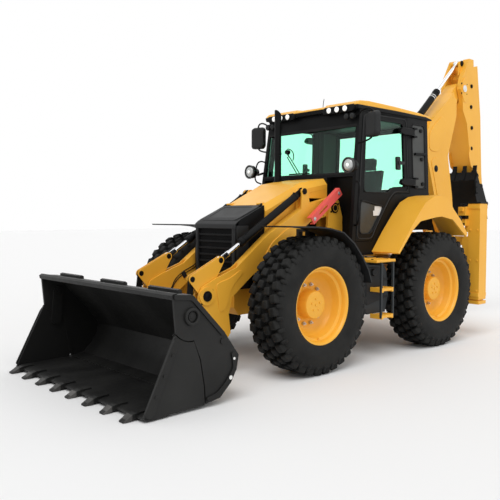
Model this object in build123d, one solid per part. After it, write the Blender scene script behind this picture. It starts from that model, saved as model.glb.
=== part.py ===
from build123d import *
import math
import os

# A backhoe loader with equal wheels, parked with its loader bucket on the ground and its hoe folded.
# Drawn in millimetres with the rear axle at y = 0 and the ground at z = 0; +X is the machine's left
# and the machine faces -Y. Every outline is a list of (y, z) points. At the end all pieces move
# along Y so that the origin is the middle of the footprint.

# ---------------------------------------------------------------- driving dimensions
GAP = 8.0                       # running gap beside a moving piece
PIN_GAP = 5.0                   # between a pin and the hole round it
ROD_GAP = 0.5

WHEELBASE = 2200.0
TYRE_R = 705.0
TYRE_W = 440.0
TRACK_HALF = 945.0              # centre of the machine to the middle of a tyre
KINGPIN_X = TRACK_HALF - 225.0
LUGS = 24                       # tread bars on each half of a tyre
LUG_DEPTH = 38.0
TREAD_HALF = 190.0
GROOVE_HALF = 12.0              # between the two rows of bars
RIM_R = 385.0
RIM_W = 320.0
RIM_WALL = 28.0

RAIL_OUT = 350.0                # chassis rails, outer face
RAIL_T = 60.0
RAIL_LOW = 890.0
RAIL_HIGH = 1085.0

ARM_IN = 400.0                  # loader arms, inner and outer faces
ARM_OUT = 490.0
ARM_PLATE = 18.0                # side plates of an arm where it is slotted
ARM_PIVOT = (-1330.0, 1700.0)
BUCKET_PIN = (-3300.0, 385.0)
LEVER_PIN = (-3190.0, 829.0)
LEVER_TOP = (-2985.0, 1167.0)
TILT_BASE = (-1800.0, 1880.0)
ARM_TUBE = (-2960.0, 640.0)
LINK_TOP = (-3340.0, 1000.0)
LINK_LOW = (-3400.0, 520.0)
LIFT_LOW = (-1250.0, 880.0)
LIFT_TOP = (-2230.0, 1185.0)
BUCKET_HALF = 1210.0
BUCKET_WALL = 25.0
JAW_PIVOT = (-3920.0, 790.0)
TOOTH_COUNT = 8
TOOTH_W = 62.0
TOOTH_SPREAD = 1068.0           # centre of the bucket to the middle of an end tooth

HOOD_FRONT = -2262.0
HOOD_REAR = -1305.0
HOOD_HALF_FRONT = 350.0
HOOD_HALF_REAR = 390.0
HOOD_T = 22.0
HOOD_FRONT_TOP = 1727.0
HOOD_REAR_TOP = 2045.0
HOOD_HINGE = (HOOD_FRONT - GAP / 2, HOOD_FRONT_TOP + 12.0)
EXHAUST = (-330.0, -1400.0)
EXHAUST_R = 42.0
EXHAUST_TOP = 2916.0
NOSE_FRONT = -2677.0
NOSE_HALF = 340.0
GRILLE_LOW = 905.0
GRILLE_TOP = 1480.0
GRILLE_BARS = 7

CAB_HALF = 800.0                # half width at the sill
CAB_SILL = 1310.0
CAB_TOP = 2830.0
CAB_LEAN = 2.3                  # degrees that the sides lean in
CAB_BACK = 232.0
FRONT_LOW_Y = -1350.0            # windscreen frame at the sill and at the top
FRONT_TOP_Y = -1145.0
CAB_WALL = 45.0
CAB_FLOOR = 1150.0
FLOOR_T = 30.0
BULKHEAD = (-1175.0, -1145.0)   # lower front wall of the cab, behind the hood
BACK_T = 37.0
TUNNEL = 500.0                  # half width of the floor between the rear wheels
DECK_FRONT = -872.0
DECK_TOP = 1460.0
DOOR_HINGE_Y = -120.0
DOOR_HINGES = (2020.0, 2640.0)
GLASS_T = 8.0
ROOF_HALF = 752.0

FENDER_IN = 812.0
FENDER_OUT = 1180.0
FENDER_T = 26.0

TANK_IN = 540.0
TANK_OUT = 950.0
PLATFORM_OUT = 1100.0
PLATFORM_Z = 1122.0
STEP_OUT = 1120.0
STEP_LEVELS = (500.0, 800.0)

BLOCK_FRONT = -2660.0           # front face of the block under the nose
BLOCK_LOW = 560.0
WEIGHT_BOLT = (180.0, -2525.0)  # (x, y) of its two counterweight bolts, drilled from below
WEIGHT_BOLT_R = 10.0
WEIGHT_BOLT_DEPTH = 60.0
FRAME_BACK = 1020.0             # rear face of the side-shift frame
BEAM_T = 110.0
BEAM_H = 120.0
BEAM_LOW = 560.0
BEAM_TOP = 1330.0
TIE_DOWN_X = 800.0              # lashing bore through the lower rear beam
TIE_DOWN_R = 18.0
HOUSING_W = 170.0
HOUSING_OUT = 1170.0
HOUSING_IN = HOUSING_OUT - HOUSING_W
HOUSING_FRONT = 832.0
HOUSING_LOW = 500.0
HOUSING_TOP = 1770.0
LEG_WALL = 18.0
SWING_Y = 1390.0
SWING_LOW = 520.0
SWING_TOP = 1240.0
SWING_LUG = 70.0
BOOM_FOOT = (1825.0, 760.0)
BOOM_HEAD = (2128.0, 3554.0)
BOOM_HALF = 150.0
BOOM_RAM_LOW = (1600.0, 1100.0)
BOOM_RAM_TOP = (1400.0, 2300.0)
STICK_RAM_LOW = (1130.0, 3020.0)
STICK_RAM_TOP = (2190.0, 3960.0)
STICK_HALF = 172.0
STICK_PIN_R = 62.0
SLIDE_DIR = (0.0367, -0.9993)
HOE_PIN = (2720.0, 1760.0)
BUCKET_EYE = (2690.0, 1540.0)
GUIDE_PIN = (2690.0, 2080.0)
GUIDE_EYE = (2850.0, 1800.0)
HOE_RAM_TOP = (2530.0, 3600.0)
HOE_HEEL = (2590.0, 1535.0)
HOE_BUCKET_HALF = 305.0
HOE_WALL = 22.0
HOE_TEETH = 4

nodes = {}


# ---------------------------------------------------------------- small shapes
def box(x, y, z):
    """Block between pairs of limits."""
    size = (x[1] - x[0], y[1] - y[0], z[1] - z[0])
    return Pos((x[0] + x[1]) / 2, (y[0] + y[1]) / 2, (z[0] + z[1]) / 2) * Box(*size)


def slab(points, x0, x1):
    """Outline of (y, z) points carried from x0 to x1."""
    face = Plane.YZ.offset(x0) * make_face(Polyline(*points, close=True))
    return extrude(face, amount=x1 - x0)


def disc(centre, radius, x0, x1):
    """Round piece about the X axis at a (y, z) centre."""
    turned = Pos((x0 + x1) / 2, centre[0], centre[1]) * Rot(0, 90, 0)
    return turned * Cylinder(radius, x1 - x0)


def post(x, y, radius, z0, z1):
    """Upright round piece."""
    return Pos(x, y, (z0 + z1) / 2) * Cylinder(radius, z1 - z0)


def bar(start, end, radius):
    """Round bar between two (x, y, z) points."""
    way = Vector(*end) - Vector(*start)
    plane = Plane(origin=start, z_dir=way)
    return plane * Cylinder(radius, way.length, align=(Align.CENTER, Align.CENTER, Align.MIN))


def mirrored(shape):
    return mirror(shape, about=Plane.YZ)


def both(*shapes):
    """The shapes and their mirror images on the other side."""
    return [copy for shape in shapes for copy in (shape, mirrored(shape))]


def toward(start, end, length):
    """Point at a length from start on the way to end, in (y, z)."""
    share = length / math.dist(start, end)
    return (start[0] + (end[0] - start[0]) * share, start[1] + (end[1] - start[1]) * share)


def fused(*shapes):
    whole = shapes[0]
    for shape in shapes[1:]:
        whole = whole + shape
    return whole


def web(first, second, half, x0, x1):
    """Flat strip between two (y, z) points, as wide as twice the half."""
    span = math.dist(first, second)
    off = ((second[1] - first[1]) / span * half, (first[0] - second[0]) / span * half)
    corners = [
        (first[0] + off[0], first[1] + off[1]), (second[0] + off[0], second[1] + off[1]),
        (second[0] - off[0], second[1] - off[1]), (first[0] - off[0], first[1] - off[1]),
    ]
    return slab(corners, x0, x1)


def strap(points, radius, x0, x1):
    """Flat plate with a round end at each (y, z) point."""
    whole = disc(points[0], radius, x0, x1)
    for first, second in zip(points, points[1:]):
        whole = whole + web(first, second, radius, x0, x1) + disc(second, radius, x0, x1)
    return whole


def ram(x, base, end, barrel_r, rod_r, barrel_length, rod_inside, pin_r, eye_half, inward=0.0, neck=0.0,
        heel=0.0):
    """Barrel hung on a pin at base, and rod with an eye at end, as two shapes in the plane x.

    The rod can slide in by the length called inward. A neck is the length of flat plate between the eye
    and the round rod, and a heel the same on the barrel.
    """
    eye_r = pin_r + 20.0
    mouth = toward(base, end, barrel_length)
    foot = max(eye_r, heel)
    barrel = bar((x, *toward(base, end, foot)), (x, *mouth), barrel_r)
    barrel += web(base, toward(base, end, foot + 20), min(barrel_r, eye_r) * 0.9, x - eye_half, x + eye_half)
    barrel += disc(base, eye_r, x - eye_half, x + eye_half)
    barrel -= disc(base, pin_r + PIN_GAP, x - eye_half - 1, x + eye_half + 1)
    bottom = toward(base, end, barrel_length - rod_inside - inward - 10.0)
    past = toward(base, end, barrel_length + 1.0)
    barrel -= bar((x, *bottom), (x, *past), rod_r + ROD_GAP)
    inner = toward(base, end, barrel_length - rod_inside)
    span = math.dist(base, end)
    rod = disc(end, eye_r, x - eye_half, x + eye_half)
    if neck:
        rod += web(toward(base, end, span - neck - 10), end, eye_r * 0.7, x - eye_half, x + eye_half)
    rod += bar((x, *inner), (x, *toward(base, end, span - max(neck, eye_r * 0.6))), rod_r)
    return barrel, rod


# ---------------------------------------------------------------- wheels, knuckles and axles
AXLES = {"front": -WHEELBASE, "rear": 0.0}
SIDES = {"left": 1, "right": -1}
AXLE_Z = TYRE_R
RIM_HALF = RIM_W / 2
HUB_IN = TRACK_HALF - 78.0              # inner end of a wheel's hub
EAR_TOP = AXLE_Z + 165.0
EAR_LOW = AXLE_Z - 165.0
EAR_T = 45.0
KNUCKLE_R = 78.0
GUARD_T = 14.0

GUARD_LINE = [
    (-498, 794), (-131, 787), (60, 770), (267, 725), (440, 610), (572, 470), (680, 320), (735, 182)]


def ring_points(radii, turn=0.0):
    """Corners about the X axis, one pair for each tread bar and gap, flat at the lowest point.

    The radii are the distances of the bars' and the gaps' flats from the axis.
    """
    half = math.pi / (2 * LUGS)
    points = []
    for index in range(2 * LUGS):
        middle = -math.pi / 2 + (2 * index + turn) * half
        reach = radii[index % 2] / math.cos(half)
        for angle in (middle - half, middle + half):
            points.append((reach * math.cos(angle), reach * math.sin(angle)))
    return points


def ring_face(x, apothem):
    """Regular outline about the X axis, with as many sides as a tyre has bars and gaps."""
    points = ring_points((apothem, apothem))[::2]
    return Plane.YZ.offset(x) * make_face(Polyline(*points, close=True))


def tyre():
    """Closed tyre about the X axis, centred on its own middle, with two staggered rows of bars."""
    root = TYRE_R - LUG_DEPTH
    side = TYRE_W / 2
    whole = extrude(ring_face(-GROOVE_HALF, root), amount=2 * GROOVE_HALF)
    whole += slab(ring_points((TYRE_R, root)), GROOVE_HALF, TREAD_HALF)
    whole += slab(ring_points((root, TYRE_R)), -TREAD_HALF, -GROOVE_HALF)
    for sign in (1, -1):
        shoulder = [ring_face(sign * TREAD_HALF, root), ring_face(sign * side, root - 92)]
        hollow = [ring_face(sign * RIM_HALF, RIM_R + 3), ring_face(sign * side, root - 107)]
        whole = whole + loft(shoulder, ruled=True) - loft(hollow, ruled=True)
    return whole - extrude(ring_face(-RIM_HALF - 1, RIM_R + 3), amount=RIM_W + 2)


def rim():
    """Wheel centre about the X axis, its hub towards the outside (+X)."""
    inner = RIM_R - RIM_WALL
    outline = [
        (-RIM_HALF, RIM_R), (-RIM_HALF, inner), (-30, inner - 12), (-30, 150), (HUB_IN - TRACK_HALF, 140),
        (HUB_IN - TRACK_HALF, 0), (110, 0), (110, 100), (20, 130), (0, 150), (0, inner - 20), (RIM_HALF, inner),
        (RIM_HALF, RIM_R),
    ]
    return revolve(make_face(Polyline(*outline, close=True)), axis=Axis.X)


def knuckle(carries_guard):
    """Left-hand knuckle with its axle at y = 0; a front one carries the mudguard."""
    body = post(KINGPIN_X, 0, KNUCKLE_R, EAR_LOW + EAR_T + GAP, EAR_TOP - EAR_T - GAP)
    body += disc((0, AXLE_Z), 105, KINGPIN_X, HUB_IN - GAP)
    if carries_guard:
        inside = (KINGPIN_X - 72, KINGPIN_X - 34)
        body += box(inside, (0, 165), (AXLE_Z - 60, AXLE_Z + 60))
        body += box(inside, (105, 165), (AXLE_Z - 60, AXLE_Z + 765))
        body += box((inside[0], KINGPIN_X + 60), (105, 165), (AXLE_Z + 737, AXLE_Z + 765))
        under = [(y, AXLE_Z + z) for y, z in GUARD_LINE]
        over = [(y * 1.018, AXLE_Z + z + GUARD_T) for y, z in reversed(GUARD_LINE)]
        body += slab(under + over, KINGPIN_X + 30, TRACK_HALF + TYRE_W / 2)
    return body


def axle(y):
    """Axle beam with a fork for a knuckle at each end."""
    end = KINGPIN_X - KNUCKLE_R - GAP - 12
    beam = box((-end, end), (y - 65, y + 65), (AXLE_Z - 62, AXLE_Z + 62))
    beam += Pos(0, y, AXLE_Z) * Sphere(170)
    beam += box((-120, 120), (y - 90, y + 90), (AXLE_Z, RAIL_LOW))
    for sign in (1, -1):
        wall = sorted((sign * (end - 40), sign * end))
        ears = sorted((sign * (end - 40), sign * KINGPIN_X))
        beam += box(wall, (y - 65, y + 65), (EAR_LOW, EAR_TOP))
        for low in (EAR_LOW, EAR_TOP - EAR_T):
            beam += box(ears, (y - 65, y + 65), (low, low + EAR_T))
            beam += post(sign * KINGPIN_X, y, 65, low, low + EAR_T)
    return beam


for place, y in AXLES.items():
    pieces = {
        "knuckle": knuckle(place == "front"),
        "rim": Pos(TRACK_HALF, 0, AXLE_Z) * rim(),
        "tyre": Pos(TRACK_HALF, 0, AXLE_Z) * tyre(),
    }
    for side, sign in SIDES.items():
        for piece, shape in pieces.items():
            nodes[f"{place}_{side}_{piece}"] = [Pos(0, y, 0) * (shape if sign > 0 else mirrored(shape))]
nodes["axles"] = [axle(y) for y in AXLES.values()]

# ---------------------------------------------------------------- chassis
RAIL_IN = RAIL_OUT - RAIL_T
TOWER_OUT = ARM_OUT + GAP + 30          # outer face of the loader tower
TOWER_LINE = [(-1480, 790), (-1480, 1000), (-1440, 1620), (-1400, 1790), (-1260, 1790), (-1190, 1600), (-1190, 790)]
PIVOT_R = 42.0
LIFT_PIN_R = 26.0

CROSSINGS = (-2200, -1330, -860, 0, 600)        # y of the pieces between the rails

nodes["chassis_rails"] = both(box((RAIL_IN, RAIL_OUT), (-2422, FRAME_BACK - BEAM_T), (RAIL_LOW, RAIL_HIGH)))

front_block = slab(
    [(-2600, BLOCK_LOW), (BLOCK_FRONT, 640), (BLOCK_FRONT, 830), (-2425, 830), (-2425, 892), (-2400, 1000),
     (-2300, 1000), (-2300, 892), (-2390, 880), (-2390, 620), (-2450, BLOCK_LOW)], -RAIL_IN, RAIL_IN)
for hole in both(post(*WEIGHT_BOLT, WEIGHT_BOLT_R, BLOCK_LOW - 1, BLOCK_LOW + WEIGHT_BOLT_DEPTH)):
    front_block -= hole
crossings = [box((-RAIL_IN, RAIL_IN), (y - 60, y + 60), (RAIL_LOW, RAIL_HIGH - 25)) for y in CROSSINGS]
outriggers = both(box((RAIL_OUT, TANK_IN), (-1150, -1090), (900, 1000)))
nodes["chassis_crossings"] = [front_block, *crossings, *outriggers]

tower = fused(
    slab(TOWER_LINE, RAIL_OUT, ARM_IN - GAP),
    slab(TOWER_LINE, ARM_OUT + GAP, TOWER_OUT),
    box((RAIL_OUT, TOWER_OUT), (-1480, -1190), (790, 830)),
    disc(ARM_PIVOT, PIVOT_R, RAIL_OUT, TOWER_OUT + 14),
    disc(LIFT_LOW, LIFT_PIN_R, RAIL_OUT, TOWER_OUT + 8))
nodes["loader_towers"] = both(tower)

rear_plate = slab(
    [(640, RAIL_LOW), (640, 1240), (860, 1400), (FRAME_BACK - 60, 1400), (FRAME_BACK - 60, BEAM_LOW),
     (860, BEAM_LOW)], RAIL_OUT, RAIL_OUT + 40)
rear_frame = fused(*both(rear_plate), *[
    box((-HOUSING_IN, HOUSING_IN), (FRAME_BACK - BEAM_T, FRAME_BACK), (low, low + BEAM_H))
    for low in (BEAM_LOW, BEAM_TOP - BEAM_H)])
tie_down_z = BEAM_LOW + BEAM_H / 2
for hole in both(bar((TIE_DOWN_X, FRAME_BACK - BEAM_T - 1, tie_down_z),
                     (TIE_DOWN_X, FRAME_BACK + 1, tie_down_z), TIE_DOWN_R)):
    rear_frame -= hole
nodes["rear_frame"] = [rear_frame]

LEG_X = (HOUSING_IN + LEG_WALL + 6, HOUSING_OUT - LEG_WALL - 6)
LEG_Y = (HOUSING_FRONT + LEG_WALL + 6, FRAME_BACK - LEG_WALL - 6)
housing = box((HOUSING_IN, HOUSING_OUT), (HOUSING_FRONT, FRAME_BACK), (HOUSING_LOW, HOUSING_TOP))
shaft = box((LEG_X[0] - 6, LEG_X[1] + 6), (LEG_Y[0] - 6, LEG_Y[1] + 6), (HOUSING_LOW - 1, HOUSING_TOP - 30))
nodes["stabiliser_housings"] = both(housing - shaft)

leg = box(LEG_X, LEG_Y, (HOUSING_LOW - 20, HOUSING_TOP - 120))
leg += box((HOUSING_IN - 45, HOUSING_OUT + 5), (HOUSING_FRONT - 7, FRAME_BACK), (HOUSING_LOW - 60, HOUSING_LOW - 15))
nodes["left_stabiliser_leg"] = [leg]
nodes["right_stabiliser_leg"] = [mirrored(leg)]

nodes["engine_block"] = [box((-230, 230), (-2230, -1420), (RAIL_HIGH + 5, 1600))]

tank_line = [(-1310, 560), (-1310, 1090), (-980, 1090), (-900, 980), (-860, 700), (-920, 500), (-1250, 500)]
STEP_Y = (-1225, -985)
HANGER = 25.0
tank = slab(tank_line, TANK_IN, TANK_OUT)
steps = [box((TANK_IN, PLATFORM_OUT), (-1285, -930), (1090, PLATFORM_Z))]
for y in (STEP_Y[0], STEP_Y[1] - HANGER):
    tank += box((STEP_OUT - HANGER, STEP_OUT), (y, y + HANGER), (STEP_LEVELS[0] - 30, 1090))
    tank += box((TANK_OUT - 60, STEP_OUT), (y, y + HANGER), (1060, 1090))
for z in STEP_LEVELS:
    steps.append(box((TANK_OUT, STEP_OUT), (STEP_Y[0] + HANGER, STEP_Y[1] - HANGER), (z - 30, z)))
nodes["side_tanks"] = both(tank)
nodes["steps"] = both(*steps)

# ---------------------------------------------------------------- nose and hood
HOOD_CORNER = 70.0
HOOD_LOW = 1180.0
nose_line = [
    (NOSE_FRONT, 838), (NOSE_FRONT - 12, 1180), (NOSE_FRONT, 1522), (NOSE_FRONT + 60, 1570),
    (HOOD_FRONT - GAP, HOOD_FRONT_TOP - 4), (HOOD_FRONT - GAP, HOOD_FRONT_TOP - 90), (-2500, 1560),
    (-2500, 1092), (-2430, 1092), (-2430, 838)]
nose = slab(nose_line, -NOSE_HALF, NOSE_HALF)
grille_x = (-NOSE_HALF + 40, NOSE_HALF - 40)
nose -= box(grille_x, (NOSE_FRONT - 20, NOSE_FRONT + 30), (GRILLE_LOW, GRILLE_TOP))
for index in range(GRILLE_BARS):
    z = GRILLE_LOW + (GRILLE_TOP - GRILLE_LOW) * (index + 1) / (GRILLE_BARS + 1)
    nose += box(grille_x, (NOSE_FRONT - 2, NOSE_FRONT + 31), (z - 10, z + 10))
cheek_line = [(-2510, 1092), (-2510, 1580), (HOOD_FRONT - GAP, HOOD_FRONT_TOP - 60), (HOOD_FRONT - GAP, 1092)]
for side in both(slab(cheek_line, NOSE_HALF - 20, NOSE_HALF)):
    nose += side
HINGE_X = 250.0                          # middle of each hood hinge
for side in both(web(HOOD_HINGE, (HOOD_HINGE[0] - 48, HOOD_HINGE[1] - 34), 9, HINGE_X + 36, HINGE_X + 56)):
    nose += side
nodes["nose"] = [nose]

HOOD_SECTIONS = [                        # (y, half width, top)
    (HOOD_FRONT, HOOD_HALF_FRONT, HOOD_FRONT_TOP), (-1690.0, 375.0, 1985.0), (HOOD_REAR, HOOD_HALF_REAR, HOOD_REAR_TOP)]


def hood_loft(inset, reach):
    """Solid under the hood's outer or inner skin."""
    faces = []
    for y, half, top in HOOD_SECTIONS:
        step = {HOOD_FRONT: -reach, HOOD_REAR: reach}.get(y, 0.0)
        w, t, low = half - inset, top - inset, HOOD_LOW - reach
        outline = Polyline(
            (-w, low), (-w, t - HOOD_CORNER), (-w + HOOD_CORNER * 0.8, t), (w - HOOD_CORNER * 0.8, t),
            (w, t - HOOD_CORNER), (w, low), close=True)
        faces.append(Plane(origin=(0, y + step, 0), x_dir=(1, 0, 0), z_dir=(0, -1, 0)) * make_face(outline))
    return loft(faces, ruled=True)


hood = hood_loft(0.0, 0.0) - hood_loft(HOOD_T, 1.0)
hood -= box((-HOOD_HALF_REAR - 1, HOOD_HALF_REAR + 1), (-1665, HOOD_REAR + 2), (HOOD_LOW - 2, 1810))
stack_gap = EXHAUST_R + GAP + 12
hood -= box((EXHAUST[0] - stack_gap, EXHAUST[0] + stack_gap), (EXHAUST[1] - stack_gap, HOOD_REAR + 2), (1800, 2100))
leaf = web(HOOD_HINGE, (HOOD_HINGE[0] + 60, HOOD_HINGE[1] + 4), 10, HINGE_X - 30, HINGE_X + 30)
for side in both(leaf + disc(HOOD_HINGE, 12, HINGE_X - 30, HINGE_X + 30)):
    hood += side
nodes["hood"] = [hood]

# ---------------------------------------------------------------- cab
LEAN = math.tan(math.radians(CAB_LEAN))


def leaning(shape):
    """Move a slab drawn with its outer face at x = 0 onto the leaning left side."""
    return Pos(CAB_HALF, 0, CAB_SILL) * Rot(0, -CAB_LEAN, 0) * Pos(0, 0, -CAB_SILL) * shape


def side_slab(points, depth, thickness):
    return leaning(slab(points, -depth - thickness, -depth))


def half_width(z):
    """Outer half width of the cab at a height."""
    return CAB_HALF - LEAN * (z - CAB_SILL)


def front_y(z):
    """Front face of the leaning windscreen frame at a height."""
    return FRONT_LOW_Y + (z - CAB_SILL) * (FRONT_TOP_Y - FRONT_LOW_Y) / (CAB_TOP - CAB_SILL)


def cross_pane(z0, z1, behind, thickness, inset):
    """Strip of the leaning front between two heights, across the cab."""
    line = [(front_y(z0) + behind, z0), (front_y(z1) + behind, z1),
            (front_y(z1) + behind + thickness, z1), (front_y(z0) + behind + thickness, z0)]
    reach = half_width(z1) - inset
    return slab(line, -reach, reach)


DOOR_LINE = [
    (-1282, 1320), (-985, 1320), (-895, 1450), (-775, 1600), (-690, 1700), (-600, 1810), (-500, 1878), (-203, 1886),
    (-222, 2812), (-1088, 2800)]
SIDE_LINE = [
    (-1375, 1180), (FRONT_LOW_Y, CAB_SILL), (FRONT_TOP_Y, CAB_TOP), (CAB_BACK, CAB_TOP), (CAB_BACK, 1430), (-700, 1430),
    (-860, 1180)]
QUARTER_WINDOW = [(-115, 1950), (-120, 2750), (165, 2750), (165, 1950)]
DOOR_WINDOW = [(-1118, 1880), (-1030, 2735), (-300, 2735), (-290, 1960), (-560, 1945), (-640, 1880)]
DOOR_LOW_WINDOW = [(-1210, 1400), (-990, 1400), (-790, 1640), (-740, 1720), (-1170, 1790)]
DOOR_T = 38.0


def opening(points, gap):
    """Prism through the side, the outline grown by a gap."""
    grown = offset(make_face(Polyline(*points, close=True)), amount=gap, kind=Kind.INTERSECTION)
    return leaning(extrude(Plane.YZ.offset(-CAB_WALL - 5) * grown, amount=CAB_WALL + 10))


side_wall = side_slab(SIDE_LINE, 0, CAB_WALL) - opening(DOOR_LINE, 6) - opening(QUARTER_WINDOW, 0)
inner = half_width(CAB_TOP) - CAB_WALL + 1
low_inner = CAB_HALF - CAB_WALL + 1
floor_half = half_width(DECK_TOP) - CAB_WALL - 3
behind_door = half_width(2100) - DOOR_T - 15
FLOOR_TOP = CAB_FLOOR + FLOOR_T
BACK_IN = CAB_BACK - BACK_T
SCREEN_LOW = 2060.0                     # bottom of the windscreen's lower frame

nodes["cab_floor"] = [fused(
    box((-TUNNEL, TUNNEL), (BULKHEAD[1], BACK_IN), (CAB_FLOOR, FLOOR_TOP)),
    box((-floor_half, floor_half), (BULKHEAD[1], DECK_FRONT), (CAB_FLOOR, FLOOR_TOP)))]
wheel_box = fused(
    box((TUNNEL - FLOOR_T, TUNNEL), (DECK_FRONT - FLOOR_T, BACK_IN), (FLOOR_TOP, DECK_TOP)),
    box((TUNNEL - FLOOR_T, floor_half), (DECK_FRONT - FLOOR_T, DECK_FRONT), (FLOOR_TOP, DECK_TOP)),
    box((TUNNEL - FLOOR_T, floor_half), (DECK_FRONT - FLOOR_T, BACK_IN), (DECK_TOP - FLOOR_T, DECK_TOP)))
nodes["cab_wheel_boxes"] = both(wheel_box)
nodes["cab_bulkhead"] = [fused(
    box((-floor_half, floor_half), BULKHEAD, (CAB_FLOOR, CAB_SILL)),
    box((-behind_door, behind_door), BULKHEAD, (CAB_SILL, SCREEN_LOW + 40)),
    box((-behind_door, behind_door), (front_y(SCREEN_LOW + 40) + 50, BULKHEAD[0]), (SCREEN_LOW, SCREEN_LOW + 40)),
    box((-380, 380), (HOOD_REAR + GAP, BULKHEAD[0]), (1820, SCREEN_LOW - 4)))]
cab = fused(
    *both(box((TUNNEL - 1, low_inner), (BACK_IN, CAB_BACK), (DECK_TOP - FLOOR_T, 1960))),
    box((-TUNNEL, TUNNEL), (BACK_IN, CAB_BACK), (CAB_FLOOR, 1960)),
    box((-inner, inner), (BACK_IN, CAB_BACK), (2700, CAB_TOP)),
    cross_pane(2640, CAB_TOP, 0, 48, 30),
    cross_pane(SCREEN_LOW, SCREEN_LOW + 40, 0, 48, 30),
    *both(side_wall))
for z in DOOR_HINGES:
    reach = half_width(z)
    for lift in (-62, 38):
        block = box((reach - 25, reach + 44), (DOOR_HINGE_Y - 8, DOOR_HINGE_Y + 60), (z + lift, z + lift + 24))
        cab += fused(*both(block))
nodes["cab_body"] = [cab]

door = side_slab(DOOR_LINE, 0, DOOR_T) - side_slab(DOOR_WINDOW, -5, 60) - side_slab(DOOR_LOW_WINDOW, -5, 60)
for z in DOOR_HINGES:
    reach = half_width(z)
    door += post(reach + 24, DOOR_HINGE_Y, 18, z - 30, z + 30)
    door += box((reach + 8, reach + 40), (-250, DOOR_HINGE_Y), (z - 30, z + 30))
    door += box((reach - 12, reach + 12), (-250, -222), (z - 30, z + 30))
nodes["left_door"] = [door]
nodes["right_door"] = [mirrored(door)]

roof_line = [
    (-1190, CAB_TOP + 5), (-1205, 2880), (-1150, 2925), (-980, 2935), (-500, 2925), (0, 2905), (270, 2880), (320, 2850),
    (310, CAB_TOP + 5)]
roof = slab(roof_line, -ROOF_HALF, ROOF_HALF)
roof -= slab([(-1210, 2905), (-700, 2912), (-700, 2950), (-1210, 2950)], -230, 230)
nodes["cab_roof"] = [roof]

seat = fused(
    box((-180, 180), (-480, -120), (CAB_FLOOR + 35, 1500)),
    box((-250, 250), (-560, -60), (1495, 1620)),
    box((-240, 240), (-170, -50), (1610, 2250)))
wheel_plane = Plane(origin=(0, -860, 1900), x_dir=(1, 0, 0), z_dir=(0, 0.42, 0.9))
column = fused(
    bar((0, -1085, CAB_FLOOR + 50), (0, -930, 1850), 45),
    box((-160, 160), (-1120, -920), (1700, 1860)),
    bar((0, -930, 1840), (0, -860, 1905), 30),
    wheel_plane * Torus(190, 16),
    wheel_plane * Box(370, 30, 14))
nodes["cab_interior"] = [seat, column]
nodes["cab_glass"] = [
    cross_pane(2106, 2634, 20, GLASS_T, 50),
    box((-inner + 10, inner - 10), (CAB_BACK - 20, CAB_BACK - 20 + GLASS_T), (1966, 2694))]

# ---------------------------------------------------------------- rear fenders and exhaust
FENDER_LINE = [
    (-1000, 1195), (-800, 1425), (-560, 1672), (-446, 1772), (-280, 1836), (-108, 1858), (60, 1800),
    (160, 1690), (330, 1560), (500, 1380)]
FENDER_UNDER = [
    (482, 1352), (312, 1534), (142, 1664), (50, 1775), (-108, 1830), (-272, 1808), (-430, 1746), (-542, 1650),
    (-780, 1405), (-975, 1180)]
SKIRT_UNDER = [(470, 1345), (150, 1560), (-100, 1600), (-243, 1590), (-560, 1545), (-721, 1440), (-970, 1185)]
fender = slab(FENDER_LINE + FENDER_UNDER, FENDER_IN, FENDER_OUT)
fender += slab(FENDER_LINE + SKIRT_UNDER, FENDER_OUT - FENDER_T, FENDER_OUT)
nodes["rear_fenders"] = both(fender)

stack = post(*EXHAUST, EXHAUST_R, 2000, EXHAUST_TOP)
stack += box((EXHAUST[0] - 45, EXHAUST[0] + 45), (EXHAUST[1] - 45, HOOD_REAR + GAP), (1830, 2020))
stack -= slab(
    [(EXHAUST[1] - 50, EXHAUST_TOP), (EXHAUST[1] + 50, EXHAUST_TOP - 90), (EXHAUST[1] + 50, EXHAUST_TOP + 5),
     (EXHAUST[1] - 50, EXHAUST_TOP + 5)], EXHAUST[0] - 50, EXHAUST[0] + 50)
stack -= post(*EXHAUST, EXHAUST_R - 6, EXHAUST_TOP - 250, EXHAUST_TOP + 1)
nodes["exhaust"] = [stack]

# ---------------------------------------------------------------- loader arms
MID = (ARM_IN + ARM_OUT) / 2
SLOT = (ARM_IN + ARM_PLATE, ARM_OUT - ARM_PLATE)
LEVER_T = 10.0
LEVER_LAYERS = ((SLOT[0] + 6, SLOT[0] + 6 + LEVER_T), (SLOT[1] - 6 - LEVER_T, SLOT[1] - 6))
CORE = (LEVER_LAYERS[0][1] + 5, LEVER_LAYERS[1][0] - 5)      # between the lever's plates
TILT_PIN_R = 22.0
ARM_LINE = [
    (-1225, 1640), (-1225, 1760), (-1270, 1810), (-1340, 1822), (-1750, 1735), (-2360, 1408), (-2800, 1085),
    (-3080, 990), (-3240, 920), (-3285, 830), (-3300, 700), (-3372, 410), (-3360, 340), (-3300, 310), (-3200, 305),
    (-2960, 345), (-2880, 430), (-2905, 620), (-2860, 790), (-2560, 1010), (-2330, 1130), (-1700, 1540), (-1400, 1610),
    (-1290, 1600)]
FRONT_SLOT = [(-3450, 240), (-3450, 1100), (-2700, 1250), (-2860, 700), (-2840, 250)]
arm = slab(ARM_LINE, ARM_IN, ARM_OUT) - disc(ARM_PIVOT, PIVOT_R + PIN_GAP, ARM_IN - 1, ARM_OUT + 1)
arm -= slab(FRONT_SLOT, *SLOT)
lift_line = [(-2330, 1120), (-2330, 1090), (-2180, 1090), (-2130, 1270), (-2300, 1200)]
arm += slab(lift_line, ARM_IN, ARM_OUT)
arm -= slab([(-2390, 1000), (-2390, 1210), (-2150, 1290), (-1980, 1400), (-1900, 1350), (-2050, 1000)], *SLOT)
for low, high in ((ARM_IN, MID - 24), (MID + 24, ARM_OUT)):
    arm += disc(LIFT_TOP, 44, low, high)
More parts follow.
